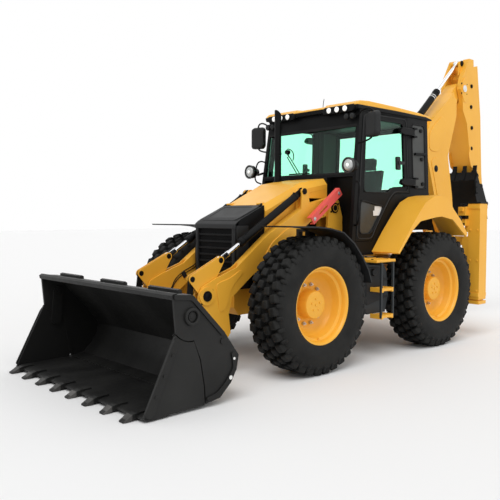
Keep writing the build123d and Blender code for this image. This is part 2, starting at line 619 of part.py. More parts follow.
for centre, radius, reach in ((LEVER_PIN, 90, 14), (BUCKET_PIN, 74, 14)):
    arm += disc(centre, radius, ARM_OUT - ARM_PLATE, ARM_OUT + reach)
bracket_line = [(-1850, 1600), (-1836, 1885), (-1815, 1920), (-1770, 1922), (-1735, 1870), (-1690, 1640)]
for low, high in ((ARM_IN, SLOT[0]), (SLOT[1], ARM_OUT)):
    arm += slab(bracket_line, low, high)
arm += disc(TILT_BASE, TILT_PIN_R, ARM_IN, ARM_OUT)
nodes["loader_arms"] = [fused(*both(arm), disc(ARM_TUBE, 70, -ARM_IN - 1, ARM_IN + 1))]

# ---------------------------------------------------------------- bucket levers, links and rams
lever = fused(*[
    strap([LEVER_TOP, LEVER_PIN, LINK_TOP, LEVER_TOP], 42, *layer) + slab([LEVER_TOP, LEVER_PIN, LINK_TOP], *layer)
    for layer in LEVER_LAYERS])
lever += disc(LEVER_PIN, 42, LEVER_LAYERS[0][0], LEVER_LAYERS[1][1])
nodes["tilt_levers"] = both(lever)
nodes["tilt_links"] = both(strap([LINK_TOP, LINK_LOW], 34, *CORE))
core_half = (CORE[1] - CORE[0]) / 2
barrel, rod = ram(
    MID, TILT_BASE, LEVER_TOP, 40, 21, 1080, 560, TILT_PIN_R, core_half, inward=110, neck=125, heel=100)
nodes["tilt_barrels"] = both(barrel)
nodes["tilt_rods"] = both(rod)
barrel, rod = ram(MID, LIFT_LOW, LIFT_TOP, 38, 18, 880, 770, LIFT_PIN_R, 16, inward=42)
nodes["lift_barrels"] = both(barrel)
nodes["lift_rods"] = both(rod)

STRUT = [(-1790.0, 1550.0), (-1310.0, 1890.0)]  # safety strut, stowed beside the left tower
STRUT_IN = TOWER_OUT + 17
STRUT_W = 92.0
strut = web(*STRUT, STRUT_W / 2, STRUT_IN, STRUT_IN + 60)
strut -= web(*STRUT, STRUT_W / 2 - 9, STRUT_IN - 1, STRUT_IN + 51)
slot_low, slot_high = toward(*STRUT, 150), toward(*STRUT, 290)
strut -= strap([slot_low, slot_high], 13, STRUT_IN + 50, STRUT_IN + 61)
strut += disc(toward(*STRUT, 460), 30, TOWER_OUT, STRUT_IN + 52)
nodes["safety_strut"] = [strut]

# ---------------------------------------------------------------- loader bucket with its front jaw
JAW_GAP = 10.0
SEAM_R = 205.0                          # the seam's upper part runs round the jaw's pivot
SEAM_TURN = (221.0, 277.0)
SEAM_LOW = [(-3830, 420), (-3790, 200), (-3775, 38)]
JAW_PIN_R = 22.0
BACK_OUTER = [
    (-4100, 983), (-3910, 968), (-3560, 610), (-3406, 400), (-3430, 280), (-3496, 170), (-3620, 60), (-3775, 38)]
BACK_INNER = [
    (-3775, 64), (-3630, 86), (-3518, 186), (-3456, 286), (-3434, 396), (-3582, 592), (-3920, 940), (-4098, 955)]


def seam(shift):
    """Line between bucket and jaw, moved towards the jaw by the shift."""
    line = []
    for step in range(8):
        angle = math.radians(SEAM_TURN[0] + (SEAM_TURN[1] - SEAM_TURN[0]) * step / 7)
        reach = SEAM_R + shift
        line.append((JAW_PIVOT[0] + reach * math.cos(angle), JAW_PIVOT[1] + reach * math.sin(angle)))
    return line + [(y - shift, z) for y, z in SEAM_LOW]


bucket = slab(BACK_OUTER + BACK_INNER, -BUCKET_HALF, BUCKET_HALF)
side_line = BACK_OUTER[:-1] + list(reversed(seam(-JAW_GAP / 2)))
side_in = BUCKET_HALF - BUCKET_WALL
JAW_ARM = (side_in - 26, side_in - 6)   # the jaw's arms hang inside the bucket's walls
for side in both(slab(side_line, side_in, BUCKET_HALF), disc(JAW_PIVOT, JAW_PIN_R, JAW_ARM[0] - 8, BUCKET_HALF + 8)):
    bucket += side
RIM_RISES = ((-210, 210), (620, 1060))  # raised parts of the bucket's top edge
for low, high in RIM_RISES:
    rise = slab([(-3950, 950), (-3950, 995), (-3925, 1003), (-3905, 990), (-3905, 950)], low, high)
    for side in both(rise) if low > 0 else [rise]:
        bucket += side
ear_line = [(-3340, 345), (-3425, 300), (-3412, 400), (-3545, 600), (-3480, 640), (-3400, 560), (-3290, 450)]
for low, high in LEVER_LAYERS:
    ear = slab(ear_line, low, high) + disc(BUCKET_PIN, 58, low, high) + disc(LINK_LOW, 40, low, high)
    for side in both(ear):
        bucket += side
for side in both(disc(BUCKET_PIN, 38, LEVER_LAYERS[0][0], LEVER_LAYERS[1][1])):
    bucket += side
nodes["loader_bucket"] = [bucket]

jaw_side = seam(JAW_GAP / 2)[:-1] + [(-3785, 30), (-4345, 22), (-4385, 40)]
jaw = slab([(-3785, 30), (-3785, 58), (-4330, 52), (-4385, 40), (-4345, 22)], -BUCKET_HALF, BUCKET_HALF)
jaw_foot = (-3950, 495)
jaw_arm = strap([JAW_PIVOT, jaw_foot], 56, *JAW_ARM) + disc(jaw_foot, 56, JAW_ARM[0], side_in + 1)
jaw_arm -= disc(JAW_PIVOT, JAW_PIN_R + PIN_GAP, JAW_ARM[0] - 1, JAW_ARM[1] + 1)
for side in both(slab(jaw_side, side_in, BUCKET_HALF), jaw_arm):
    jaw += side
for index in range(TOOTH_COUNT):
    x = -TOOTH_SPREAD + 2 * TOOTH_SPREAD * index / (TOOTH_COUNT - 1)
    line = [(-4330, 52), (-4330, 22), (-4385, 8), (-4505, 4), (-4505, 16), (-4400, 60)]
    jaw += slab(line, x - TOOTH_W / 2, x + TOOTH_W / 2)
nodes["bucket_jaw"] = [jaw]

# ---------------------------------------------------------------- hoe: carriage, swing post and boom
LUG_REACH = 120.0
carriage = box((-240, 240), (FRAME_BACK + GAP, FRAME_BACK + 90), (SWING_LOW, 1370))
for low in (SWING_LOW, SWING_TOP - SWING_LUG):
    carriage += box((-LUG_REACH, LUG_REACH), (FRAME_BACK + 80, SWING_Y), (low, low + SWING_LUG))
    carriage += post(0, SWING_Y, LUG_REACH, low, low + SWING_LUG)
nodes["hoe_carriage"] = [carriage]

POST_Z = (SWING_LOW + SWING_LUG + GAP, SWING_TOP - SWING_LUG - GAP)
CHEEK_IN = BOOM_HALF + 15.0
CHEEK_OUT = CHEEK_IN + 35.0
BOOM_PIN_R = 45.0
RAM_PIN_R = 32.0
cheek_line = [
    (SWING_Y + 40, POST_Z[0]), (SWING_Y + 40, POST_Z[1]), (1640, POST_Z[1] - 20), (1740, 1060), (1790, 900), (1910, 830),
    (1920, 720), (1850, 670), (1700, POST_Z[0] + 20)]
swing = post(0, SWING_Y, 105, *POST_Z)
swing += box((-CHEEK_OUT, CHEEK_OUT), (SWING_Y + 40, SWING_Y + 100), POST_Z)
for side in both(slab(cheek_line, CHEEK_IN, CHEEK_OUT)):
    swing += side
swing += disc(BOOM_FOOT, BOOM_PIN_R, -CHEEK_OUT, CHEEK_OUT) + disc(BOOM_RAM_LOW, RAM_PIN_R, -CHEEK_OUT, CHEEK_OUT)
nodes["swing_post"] = [swing]

BOOM_LINE = [
    (1780, 690), (1740, 780), (1760, 1000), (1650, 1200), (1480, 1500), (1439, 1730), (1174, 2474), (1146, 2788),
    (1250, 2960), (1914, 3496), (2070, 3635), (2128, 3650), (2200, 3622), (2226, 3554), (2200, 3488), (2110, 3440),
    (1985, 3200), (1832, 2765), (1735, 2508), (1870, 1900), (1933, 1443), (1915, 1000), (1900, 720), (1850, 680)]
BOOM_SLOT = [
    (1100, 2520), (1560, 2520), (1600, 2200), (1700, 1500), (1790, 1150), (1745, 1020), (1700, 900), (1100, 900)]
RAM_SLOT = 62.0
boom = slab(BOOM_LINE, -BOOM_HALF, BOOM_HALF)
boom -= slab(BOOM_SLOT, -RAM_SLOT, RAM_SLOT)
boom -= disc(BOOM_FOOT, BOOM_PIN_R + PIN_GAP, -BOOM_HALF - 1, BOOM_HALF + 1)
TONGUE = 95.0
tongue_line = [(1960, 3100), (1960, 3380), (1900, 3400), (1880, 3450), (1880, 3700), (2300, 3700), (2300, 3100)]
for side in both(slab(tongue_line, TONGUE, BOOM_HALF + 1)):
    boom -= side
boom -= disc(BOOM_HEAD, STICK_PIN_R + PIN_GAP, -TONGUE - 1, TONGUE + 1)
for side in both(disc(BOOM_RAM_TOP, 42, 38, RAM_SLOT + 20)):
    boom += side
stick_lug = [
    (1100, 2990), (1085, 3030), (1110, 3065), (1160, 3065), (1330, 3022), (1300, 2960), (1200, 2900), (1160, 2860)]
for low, high in ((-76, -54), (54, 76)):
    boom += slab(stick_lug, low, high)
boom += disc(STICK_RAM_LOW, 26, -76, 76)
nodes["boom"] = [boom]
barrel, rod = ram(0, BOOM_RAM_LOW, BOOM_RAM_TOP, 52, 30, 1090, 720, RAM_PIN_R, 28)
nodes["boom_barrel"] = [barrel]
nodes["boom_rod"] = [rod]

# ---------------------------------------------------------------- stick, its extension and the hoe bucket
STICK_LINE = [
    (2085, 3440), (2035, 3540), (2050, 3620), (2080, 3720), (2272, 4034), (2400, 4034), (2409, 3932), (2449, 2844),
    (2472, 2290), (2442, 2270), (2421, 2325), (2321, 2633), (2237, 3034), (2110, 3226)]
FORK_SLOT = [
    (1980, 3200), (1980, 3800), (2170, 3800), (2225, 3700), (2262, 3600), (2262, 3510), (2220, 3430), (2150, 3400),
    (2100, 3330)]
stick = slab(STICK_LINE, -STICK_HALF, STICK_HALF)
stick -= slab(FORK_SLOT, -TONGUE - GAP, TONGUE + GAP)
stick -= slab([(1980, 3650), (1980, 4100), (2330, 4100), (2310, 3900), (2180, 3690)], -68, 68)
lug_line = [(2110, 3770), (2140, 3985), (2190, 4005), (2255, 4000), (2260, 3900)]
for side in both(slab(lug_line, 68, 90) + disc(STICK_RAM_TOP, 40, 40, 90)):
    stick += side
stick += disc(BOOM_HEAD, STICK_PIN_R, -STICK_HALF - 14, STICK_HALF + 14)
nodes["outer_stick"] = [stick]
barrel, rod = ram(0, STICK_RAM_LOW, STICK_RAM_TOP, 50, 28, 690, 30, 26, 26, inward=580)
nodes["stick_barrel"] = [barrel]
nodes["stick_rod"] = [rod]

EXT_HALF = STICK_HALF - 12
GUIDE_LAYER = (EXT_HALF + 6, EXT_HALF + 24)
LINK_LAYER = (GUIDE_LAYER[1] + 6, GUIDE_LAYER[1] + 22)
HOE_RAM_R = 24.0
EXT_LINE = [
    (2418, 3932), (2543, 3962), (2668, 3180), (2731, 2293), (2785, 1950), (2785, 1760), (2750, 1700), (2690, 1700),
    (2655, 1760), (2560, 2050), (2490, 2290), (2458, 2844)]
extension = slab(EXT_LINE, -EXT_HALF, EXT_HALF)
extension -= slab(
    [(2460, 3720), (2475, 3500), (2560, 2800), (2660, 2100), (2660, 1900), (2950, 1900), (2950, 3720)],
    -RAM_SLOT, RAM_SLOT)
extension += disc(HOE_RAM_TOP, HOE_RAM_R, -RAM_SLOT - 10, RAM_SLOT + 10)
pin_x = (EXT_HALF - 20, GUIDE_LAYER[1] + 4)
for side in both(disc(GUIDE_PIN, 26, *pin_x), disc(HOE_PIN, 30, *pin_x)):
    extension += side
nodes["inner_stick"] = [extension]

guide = strap([GUIDE_PIN, GUIDE_EYE], 40, *GUIDE_LAYER) - disc(GUIDE_PIN, 26 + PIN_GAP, *GUIDE_LAYER)
guide += disc(GUIDE_EYE, 26, 36, LINK_LAYER[1])
link = strap([GUIDE_EYE, BUCKET_EYE], 36, *LINK_LAYER) - disc(GUIDE_EYE, 26 + PIN_GAP, *LINK_LAYER)
nodes["guide_links"] = both(guide)
nodes["hoe_bucket_links"] = both(link)
barrel, rod = ram(0, HOE_RAM_TOP, GUIDE_EYE, 42, 24, 1180, 480, HOE_RAM_R, 26, inward=345)
nodes["hoe_bucket_barrel"] = [barrel]
nodes["hoe_bucket_rod"] = [rod]

HOE_OUTER = [(2326, 2287), (2250, 2150), (2290, 1930), (2400, 1700), (2545, 1510), (2600, 1488)]
HOE_INNER = [(2600, 1512), (2560, 1530), (2420, 1712), (2312, 1935), (2274, 2148), (2340, 2270)]
hoe_bucket = slab(HOE_OUTER + HOE_INNER, -HOE_BUCKET_HALF, HOE_BUCKET_HALF)
hoe_side = HOE_OUTER + [(2690, 1560), (2640, 1720), (2480, 2000)]
for side in both(slab(hoe_side, HOE_BUCKET_HALF - HOE_WALL, HOE_BUCKET_HALF)):
    hoe_bucket += side
ear = strap([HOE_PIN, BUCKET_EYE, HOE_HEEL, HOE_PIN], 40, *GUIDE_LAYER)
for side in both(ear - disc(HOE_PIN, 30 + PIN_GAP, *GUIDE_LAYER)):
    hoe_bucket += side
for index in range(HOE_TEETH):
    x = (HOE_BUCKET_HALF - 50) * (2 * index / (HOE_TEETH - 1) - 1)
    line = [(2290, 2215), (2320, 2300), (2352, 2391), (2362, 2391), (2348, 2290), (2332, 2235)]
    hoe_bucket += slab(line, x - 32, x + 32)
nodes["hoe_bucket"] = [hoe_bucket]

# ---------------------------------------------------------------- writing the pieces
boxes = [Compound(shapes).bounding_box() for shapes in nodes.values()]
SHIFT = -(min(b.min.Y for b in boxes) + max(b.max.Y for b in boxes)) / 2
os.makedirs("parts", exist_ok=True)
for name, shapes in nodes.items():
    whole = shapes[0] if len(shapes) == 1 else Compound(shapes)
    export_step(Pos(0, SHIFT, 0) * whole, f"parts/{name}.step")
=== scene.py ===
import math

import bmesh
import bpy
from mathutils import Matrix, Vector


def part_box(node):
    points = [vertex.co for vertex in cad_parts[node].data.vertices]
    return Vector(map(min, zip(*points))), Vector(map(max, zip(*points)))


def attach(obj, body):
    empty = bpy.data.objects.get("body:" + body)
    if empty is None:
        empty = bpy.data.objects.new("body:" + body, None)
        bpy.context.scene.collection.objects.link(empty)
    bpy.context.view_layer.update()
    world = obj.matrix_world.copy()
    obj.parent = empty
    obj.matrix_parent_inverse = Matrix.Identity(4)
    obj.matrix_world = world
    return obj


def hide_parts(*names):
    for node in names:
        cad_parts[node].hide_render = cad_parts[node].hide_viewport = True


# Looks of the backhoe loader. All places are in metres from the rear axle's centre line on the ground:
# x to the machine's left, y to its rear, z up. at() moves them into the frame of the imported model.
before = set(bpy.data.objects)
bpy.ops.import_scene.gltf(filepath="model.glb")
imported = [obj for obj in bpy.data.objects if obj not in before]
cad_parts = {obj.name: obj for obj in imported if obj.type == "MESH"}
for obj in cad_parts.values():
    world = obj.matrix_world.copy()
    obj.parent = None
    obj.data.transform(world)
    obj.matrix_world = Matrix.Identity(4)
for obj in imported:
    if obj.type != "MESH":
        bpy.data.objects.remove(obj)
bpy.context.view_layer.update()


def middle(node):
    low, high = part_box(node)
    return (low + high) / 2


REAR_AXLE = middle("rear_left_tyre")
TYRE_R = REAR_AXLE.z


def at(x, y, z):
    """Place in the model's frame from one measured off the rear axle."""
    return Vector((x, y + REAR_AXLE.y, z))


# ---------------------------------------------------------------- materials
def set_sockets(node, values):
    for socket, value in values.items():
        node.inputs[socket].default_value = value


def add_node(owner, kind, values=None, sources=None):
    """Adds a shader node to a material or world, with constants in some sockets and wires into others."""
    node = owner.node_tree.nodes.new(f"ShaderNode{kind}")
    set_sockets(node, values or {})
    for socket, source in (sources or {}).items():
        owner.node_tree.links.new(source, node.inputs[socket])
    return node


def material(name, colour, roughness, metallic=0.0, coat=0.0, transmission=0.0, emission=0.0, shine=0.5,
             ior=1.5):
    made = bpy.data.materials.new(name)
    made.use_nodes = True
    shader = made.node_tree.nodes["Principled BSDF"]
    set_sockets(shader, {
        "Base Color": (*colour, 1), "Roughness": roughness, "Metallic": metallic, "Coat Weight": coat,
        "Coat Roughness": 0.12, "Transmission Weight": transmission, "Specular IOR Level": shine, "IOR": ior})
    if emission:
        set_sockets(shader, {"Emission Color": (*colour, 1), "Emission Strength": emission})
    return made


def noise(made, scale, detail=4.0, stretch=(1, 1, 1)):
    """Noise in object space, as its output socket."""
    place = add_node(made, "TexCoord").outputs["Object"]
    mapped = add_node(made, "Mapping", {"Scale": stretch}, {"Vector": place}).outputs["Vector"]
    return add_node(made, "TexNoise", {"Scale": scale, "Detail": detail}, {"Vector": mapped}).outputs["Fac"]


def ramp(made, value, low, high, first, last):
    """Colour that runs from first to last while value runs from low to high."""
    node = add_node(made, "ValToRGB", sources={"Fac": value})
    for stop, position, colour in zip(node.color_ramp.elements, (low, high), (first, last)):
        stop.position = position
        stop.color = (*colour, 1)
    return node.outputs["Color"]


def levels(made, value, low, high):
    """Value from 0 to 1 spread over low to high."""
    return add_node(made, "MapRange", {"To Min": low, "To Max": high}, {"Value": value}).outputs["Result"]


def wire(made, socket, value):
    made.node_tree.links.new(value, made.node_tree.nodes["Principled BSDF"].inputs[socket])


def bump(made, value, strength, distance):
    node = add_node(made, "Bump", {"Strength": strength, "Distance": distance}, {"Height": value})
    wire(made, "Normal", node.outputs["Normal"])


def paint(name, colour, shade, roughness, coat, shine=0.5):
    """Sprayed paint: slow drift of tone, patchy sheen and a fine orange-peel bump."""
    made = material(name, colour, roughness, coat=coat, shine=shine)
    wire(made, "Base Color", ramp(made, noise(made, 2.3), 0.3, 0.7, shade, colour))
    wire(made, "Roughness", levels(made, noise(made, 9.0, 6.0), roughness - 0.07, roughness + 0.09))
    bump(made, noise(made, 260.0, 2.0), 0.12, 0.0006)
    return made


def worn_steel_paint(name, colour, scuff, roughness):
    """Dark paint with long light scuffs, as on a bucket."""
    made = material(name, colour, roughness, shine=0.22)
    wire(made, "Base Color", ramp(made, noise(made, 3.0, 9.0, (1, 0.35, 0.35)), 0.42, 0.75, colour, scuff))
    wire(made, "Roughness", levels(made, noise(made, 22.0, 8.0), roughness - 0.12, roughness + 0.12))
    bump(made, noise(made, 90.0, 6.0), 0.25, 0.001)
    return made


def rubber(name, colour, dust):
    made = material(name, colour, 0.72, shine=0.2)
    wire(made, "Base Color", ramp(made, noise(made, 5.0, 8.0), 0.35, 0.75, colour, dust))
    wire(made, "Roughness", levels(made, noise(made, 40.0, 4.0), 0.58, 0.82))
    bump(made, noise(made, 150.0, 5.0), 0.3, 0.0012)
    return made


YELLOW = paint("yellow_paint", (0.88, 0.45, 0.045), (0.84, 0.415, 0.036), 0.4, 0.06, 0.35)
BLACK = paint("black_paint", (0.005, 0.0052, 0.0054), (0.0035, 0.0037, 0.004), 0.44, 0.0, 0.11)
CHARCOAL = paint("charcoal_plastic", (0.017, 0.0175, 0.018), (0.012, 0.0125, 0.013), 0.55, 0.0, 0.25)
GREY = paint("grey_panel", (0.06, 0.063, 0.061), (0.048, 0.051, 0.049), 0.5, 0.0, 0.3)
TANK = paint("tank_grey", (0.026, 0.03, 0.033), (0.019, 0.023, 0.025), 0.45, 0.0, 0.3)
RED = paint("red_paint", (0.84, 0.115, 0.095), (0.76, 0.085, 0.07), 0.42, 0.1, 0.4)
BUCKET = worn_steel_paint("bucket_black", (0.0075, 0.0075, 0.0072), (0.019, 0.019, 0.018), 0.5)
TOOTH = worn_steel_paint("tooth_steel", (0.035, 0.034, 0.032), (0.11, 0.105, 0.1), 0.45)
TYRE = rubber("tyre_rubber", (0.0065, 0.0065, 0.0062), (0.015, 0.015, 0.014))
HOSE = rubber("hose_rubber", (0.007, 0.007, 0.0075), (0.014, 0.014, 0.014))
CLOTH = rubber("seat_cloth", (0.022, 0.022, 0.024), (0.034, 0.034, 0.036))
CHROME = material("chrome", (0.82, 0.83, 0.85), 0.14, metallic=1.0)
STEEL = paint("bright_steel", (0.56, 0.56, 0.55), (0.45, 0.45, 0.44), 0.34, 0.0)
set_sockets(STEEL.node_tree.nodes["Principled BSDF"], {"Metallic": 0.9})
GLASS = material("tinted_glass", (0.55, 0.905, 0.745), 0.02, transmission=1.0, ior=1.25)
DARK_GLASS = paint("smoked_glass", (0.046, 0.05, 0.048), (0.034, 0.037, 0.036), 0.22, 0.0, 0.35)
LENS = material("lamp_lens", (0.95, 0.96, 0.94), 0.08, coat=0.6, emission=0.35)
REFLECTOR = material("lamp_reflector", (0.52, 0.54, 0.53), 0.22, metallic=0.35, coat=0.8)
AMBER = material("amber_lens", (0.95, 0.3, 0.02), 0.15, coat=0.6)
RED_LENS = material("red_lens", (0.55, 0.01, 0.01), 0.15, coat=0.6)
WHITE = paint("white_cap", (0.78, 0.78, 0.76), (0.7, 0.7, 0.68), 0.4, 0.0)


# ---------------------------------------------------------------- building pieces
SIDES = (("left", 1), ("right", -1))
CORNERS = ((-1, -1), (-1, 1), (1, 1), (1, -1))      # of a rectangle, as shares of its half size
EDGE_ANGLE = math.radians(28)       # a bevel softens the edges that turn by more than this
SHARP_ANGLE = math.radians(35)      # an edge of a piece without bevels stays sharp above this


def add_bevel(obj, width, segments=2):
    edge = obj.modifiers.new("edges", "BEVEL")
    edge.width = width
    edge.segments = segments
    edge.limit_method = "ANGLE"
    edge.angle_limit = EDGE_ANGLE


def shade_by_weight(obj):
    obj.modifiers.new("shading", "WEIGHTED_NORMAL").keep_sharp = True


def finish_piece(obj, made, body="chassis", bevel=0.0, segments=2, smooth=True):
    """Gives a new piece its material, soft edges and body."""
    obj.data.materials.append(made)
    if obj.type == "MESH":
        for face in obj.data.polygons:
            face.use_smooth = smooth
        if bevel:
            add_bevel(obj, bevel, segments)
            shade_by_weight(obj)
        else:
            obj.data.set_sharp_from_angle(angle=SHARP_ANGLE)
    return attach(obj, body)


def new_object(name, data):
    obj = bpy.data.objects.new(name, data)
    bpy.context.scene.collection.objects.link(obj)
    return obj


def mesh_from(name, bm):
    """Mesh of a filled bmesh, with its faces turned outward."""
    bmesh.ops.recalc_face_normals(bm, faces=bm.faces)
    mesh = bpy.data.meshes.new(name)
    bm.to_mesh(mesh)
    bm.free()
    return mesh


def piece(name, build, made, body="chassis", **looks):
    """New piece from a function that fills a bmesh."""
    bm = bmesh.new()
    build(bm)
    return finish_piece(new_object(name, mesh_from(name, bm)), made, body, **looks)


def pair(build, made, body="chassis", **looks):
    """Left and right piece from a function that fills a bmesh for one side; {} in body takes the side."""
    for side, sign in SIDES:
        piece(f"{side}_{build.__name__}", lambda bm: build(bm, sign), made, body.format(side), **looks)


def skin_into(bm, rings, capped=True):
    """Joins rings of corners by a skin, and closes its two ends."""
    for near, far in zip(rings, rings[1:]):
        for i in range(len(near)):
            j = (i + 1) % len(near)
            bm.faces.new((near[i], near[j], far[j], far[i]))
    if capped:
        bm.faces.new(rings[0])
        bm.faces.new(rings[-1])


def sweep_into(bm, outline, ends, place):
    """Adds an outline carried from one end to the other; place(end, a, b) is where its point (a, b) goes."""
    skin_into(bm, [[bm.verts.new(place(end, a, b)) for a, b in outline] for end in ends])


def prism_into(bm, outline, x0, x1):
    """Adds a (y, z) outline carried from x0 to x1."""
    sweep_into(bm, outline, (x0, x1), at)


def plate_into(bm, outline, y0, y1):
    """Adds an (x, z) outline carried from y0 to y1."""
    sweep_into(bm, outline, (y0, y1), lambda y, x, z: at(x, y, z))


def deck_into(bm, outline, z0, z1):
    """Adds an (x, y) outline carried from z0 to z1."""
    sweep_into(bm, outline, (z0, z1), lambda z, x, y: at(x, y, z))


def rod_into(bm, start, end, radius, sides=20, end_radius=None):
    """Adds a round bar, or a cone, between two places."""
    a, b = Vector(start), Vector(end)
    turn = (b - a).to_track_quat("Z", "Y").to_matrix().to_4x4()
    far = radius if end_radius is None else end_radius
    bmesh.ops.create_cone(
        bm, cap_ends=True, segments=sides, radius1=radius, radius2=far, depth=(b - a).length,
        matrix=Matrix.Translation((a + b) / 2) @ turn)


def stud_into(bm, place, length, radius, sides, end_radius=None, axis="x"):
    """Adds a round bar that starts at a place and runs along one axis."""
    run = Vector([length * (axis == name) for name in "xyz"])
    rod_into(bm, at(*place), at(*place) + run, radius, sides, end_radius)


def revolve_into(bm, profile, steps, matrix):
    """Adds a closed (along, radius) profile turned about the local X axis."""
    turns = [2 * math.pi * i / steps for i in range(steps)]
    rings = [[bm.verts.new(matrix @ Vector((x, r * math.sin(turn), r * math.cos(turn)))) for x, r in profile]
             for turn in turns]
    skin_into(bm, rings + rings[:1], capped=False)


def dome_into(bm, place, normal, radius, depth, rings=5, sides=20):
    """Adds a shallow dome that bulges along normal, closed by a flat back."""
    base = Matrix.Translation(place) @ Vector(normal).to_track_quat("Z", "Y").to_matrix().to_4x4()
    around = [2 * math.pi * k / sides for k in range(sides)]
    circles = []
    for a in (math.pi / 2 * i / rings for i in range(1, rings + 1)):
        reach, height = radius * math.sin(a), depth * math.cos(a)
        circles.append([bm.verts.new(base @ Vector((reach * math.cos(turn), reach * math.sin(turn), height)))
                        for turn in around])
    top = bm.verts.new(base @ Vector((0, 0, depth)))
    for k in range(sides):
        bm.faces.new((top, circles[0][k], circles[0][(k + 1) % sides]))
    skin_into(bm, circles, capped=False)
    bm.faces.new(circles[-1])


def block_into(bm, centre, size, turn=0.0, dip=0.0):
    """Adds a box turned about its upright line and then dipped about x, in degrees."""
    made = bmesh.ops.create_cube(bm, size=1.0)
    spin = Matrix.Rotation(math.radians(turn), 4, "Z") @ Matrix.Rotation(math.radians(dip), 4, "X")
    place = Matrix.Translation(at(*centre)) @ spin @ Matrix.Diagonal((*size, 1))
    bmesh.ops.transform(bm, matrix=place, verts=made["verts"])


def pin_into(bm, x, place, radius, thick, sign):
    """Adds a pin's end plate on the face at x, with a domed middle."""
    stud_into(bm, (x, *place), sign * thick, radius, 28)
    dome_into(bm, at(x + sign * thick, *place), (sign, 0, 0), radius * 0.62, thick * 0.7)


def both_pins(bm, half, place, radius, thick=0.01):
    for _, sign in SIDES:
        pin_into(bm, sign * half, place, radius, thick, sign)


def both_bolts(bm, half, places, radius):
    """Adds hexagon heads on both faces, at plus and minus half."""
    for _, sign in SIDES:
        for place in places:
            stud_into(bm, (sign * half, *place), sign * radius * 0.7, radius, 6)


def along(start, end, distance):
    """Point of a (y, z) line at a distance from its start."""
    run = math.hypot(end[0] - start[0], end[1] - start[1])
    return tuple(a + (b - a) * distance / run for a, b in zip(start, end))


def collars_into(bm, x, foot, head, radius, spans):
    """Adds ring collars to a ram's barrel; each span is (start, length, extra radius) along it."""
    a, b = at(x, *foot), at(x, *head)
    place = Matrix.Translation(a) @ (b - a).to_track_quat("X", "Z").to_matrix().to_4x4()
    for start, length, extra in spans:
        low, high, end = radius - 0.003, radius + extra, start + length
        revolve_into(bm, [(start, low), (start, high), (end, high), (end, low)], 36, place)


def rounded(outline, radius, steps=4):
    """Outline with its corners cut to short arcs."""
    points = []
    for i, corner in enumerate(outline):
        here = Vector(corner)
        to_last, to_next = Vector(outline[i - 1]) - here, Vector(outline[(i + 1) % len(outline)]) - here
        cut = min(radius, to_last.length * 0.45, to_next.length * 0.45)
        a, b = here + to_last.normalized() * cut, here + to_next.normalized() * cut
        for t in (k / steps for k in range(steps + 1)):
            points.append(tuple(a * (1 - t) ** 2 + here * 2 * t * (1 - t) + b * t ** 2))
    return points


def grown(outline, amount):
    """Outline with every corner moved away from its middle."""
    cy = sum(y for y, _ in outline) / len(outline)
    cz = sum(z for _, z in outline) / len(outline)
    return [(y + math.copysign(amount, y - cy), z + math.copysign(amount, z - cz)) for y, z in outline]


def pads_into(bm, face, proud, outlines):
    """Adds plates, each a (y, z) outline with its corner radius, on both faces at plus and minus face."""
    for _, sign in SIDES:
        for outline, radius in outlines:
            prism_into(bm, rounded(outline, radius), sign * (face - 0.002), sign * (face + proud))


def new_curve(name, kind, count, radius, resolution, cyclic):
    """Round tube with one spline; returns the curve and its spline."""
    curve = bpy.data.curves.new(name, "CURVE")
    curve.dimensions = "3D"
    curve.bevel_depth = radius
    curve.bevel_resolution = resolution
    line = curve.splines.new(kind)
    (line.bezier_points if kind == "BEZIER" else line.points).add(count - 1)
    line.use_cyclic_u = cyclic
    return curve, line


def tube(name, places, radius, made, body="chassis", cyclic=False):
    """Round pipe on a smooth line through its places."""
    curve, line = new_curve(name, "BEZIER", len(places), radius, 4, cyclic)
    curve.resolution_u = 8
    curve.use_fill_caps = True
    for spot, place in zip(line.bezier_points, places):
        spot.co = place
        spot.handle_left_type = spot.handle_right_type = "AUTO"
    return finish_piece(new_object(name, curve), made, body)


def mirrored(sign, points):
    """Places of a machine side's points, given for the left."""
    return [at(sign * x, y, z) for x, y, z in points]


def round_lamp(name, place, facing, radius, depth, lens):
    """Round lamp with a tapered shell, a rim and a domed lens."""
    front, n = at(*place), Vector(facing).normalized()

    def shell(bm):
        rod_into(bm, front - n * depth, front - n * depth * 0.4, radius * 0.55, 28, radius * 1.06)
        rod_into(bm, front - n * depth * 0.4, front, radius * 1.1, 28, radius * 1.1)

    piece(f"{name}_shell", shell, BLACK, bevel=0.003)
    piece(f"{name}_lens", lambda bm: dome_into(bm, front, n, radius * 0.92, radius * 0.25), lens)


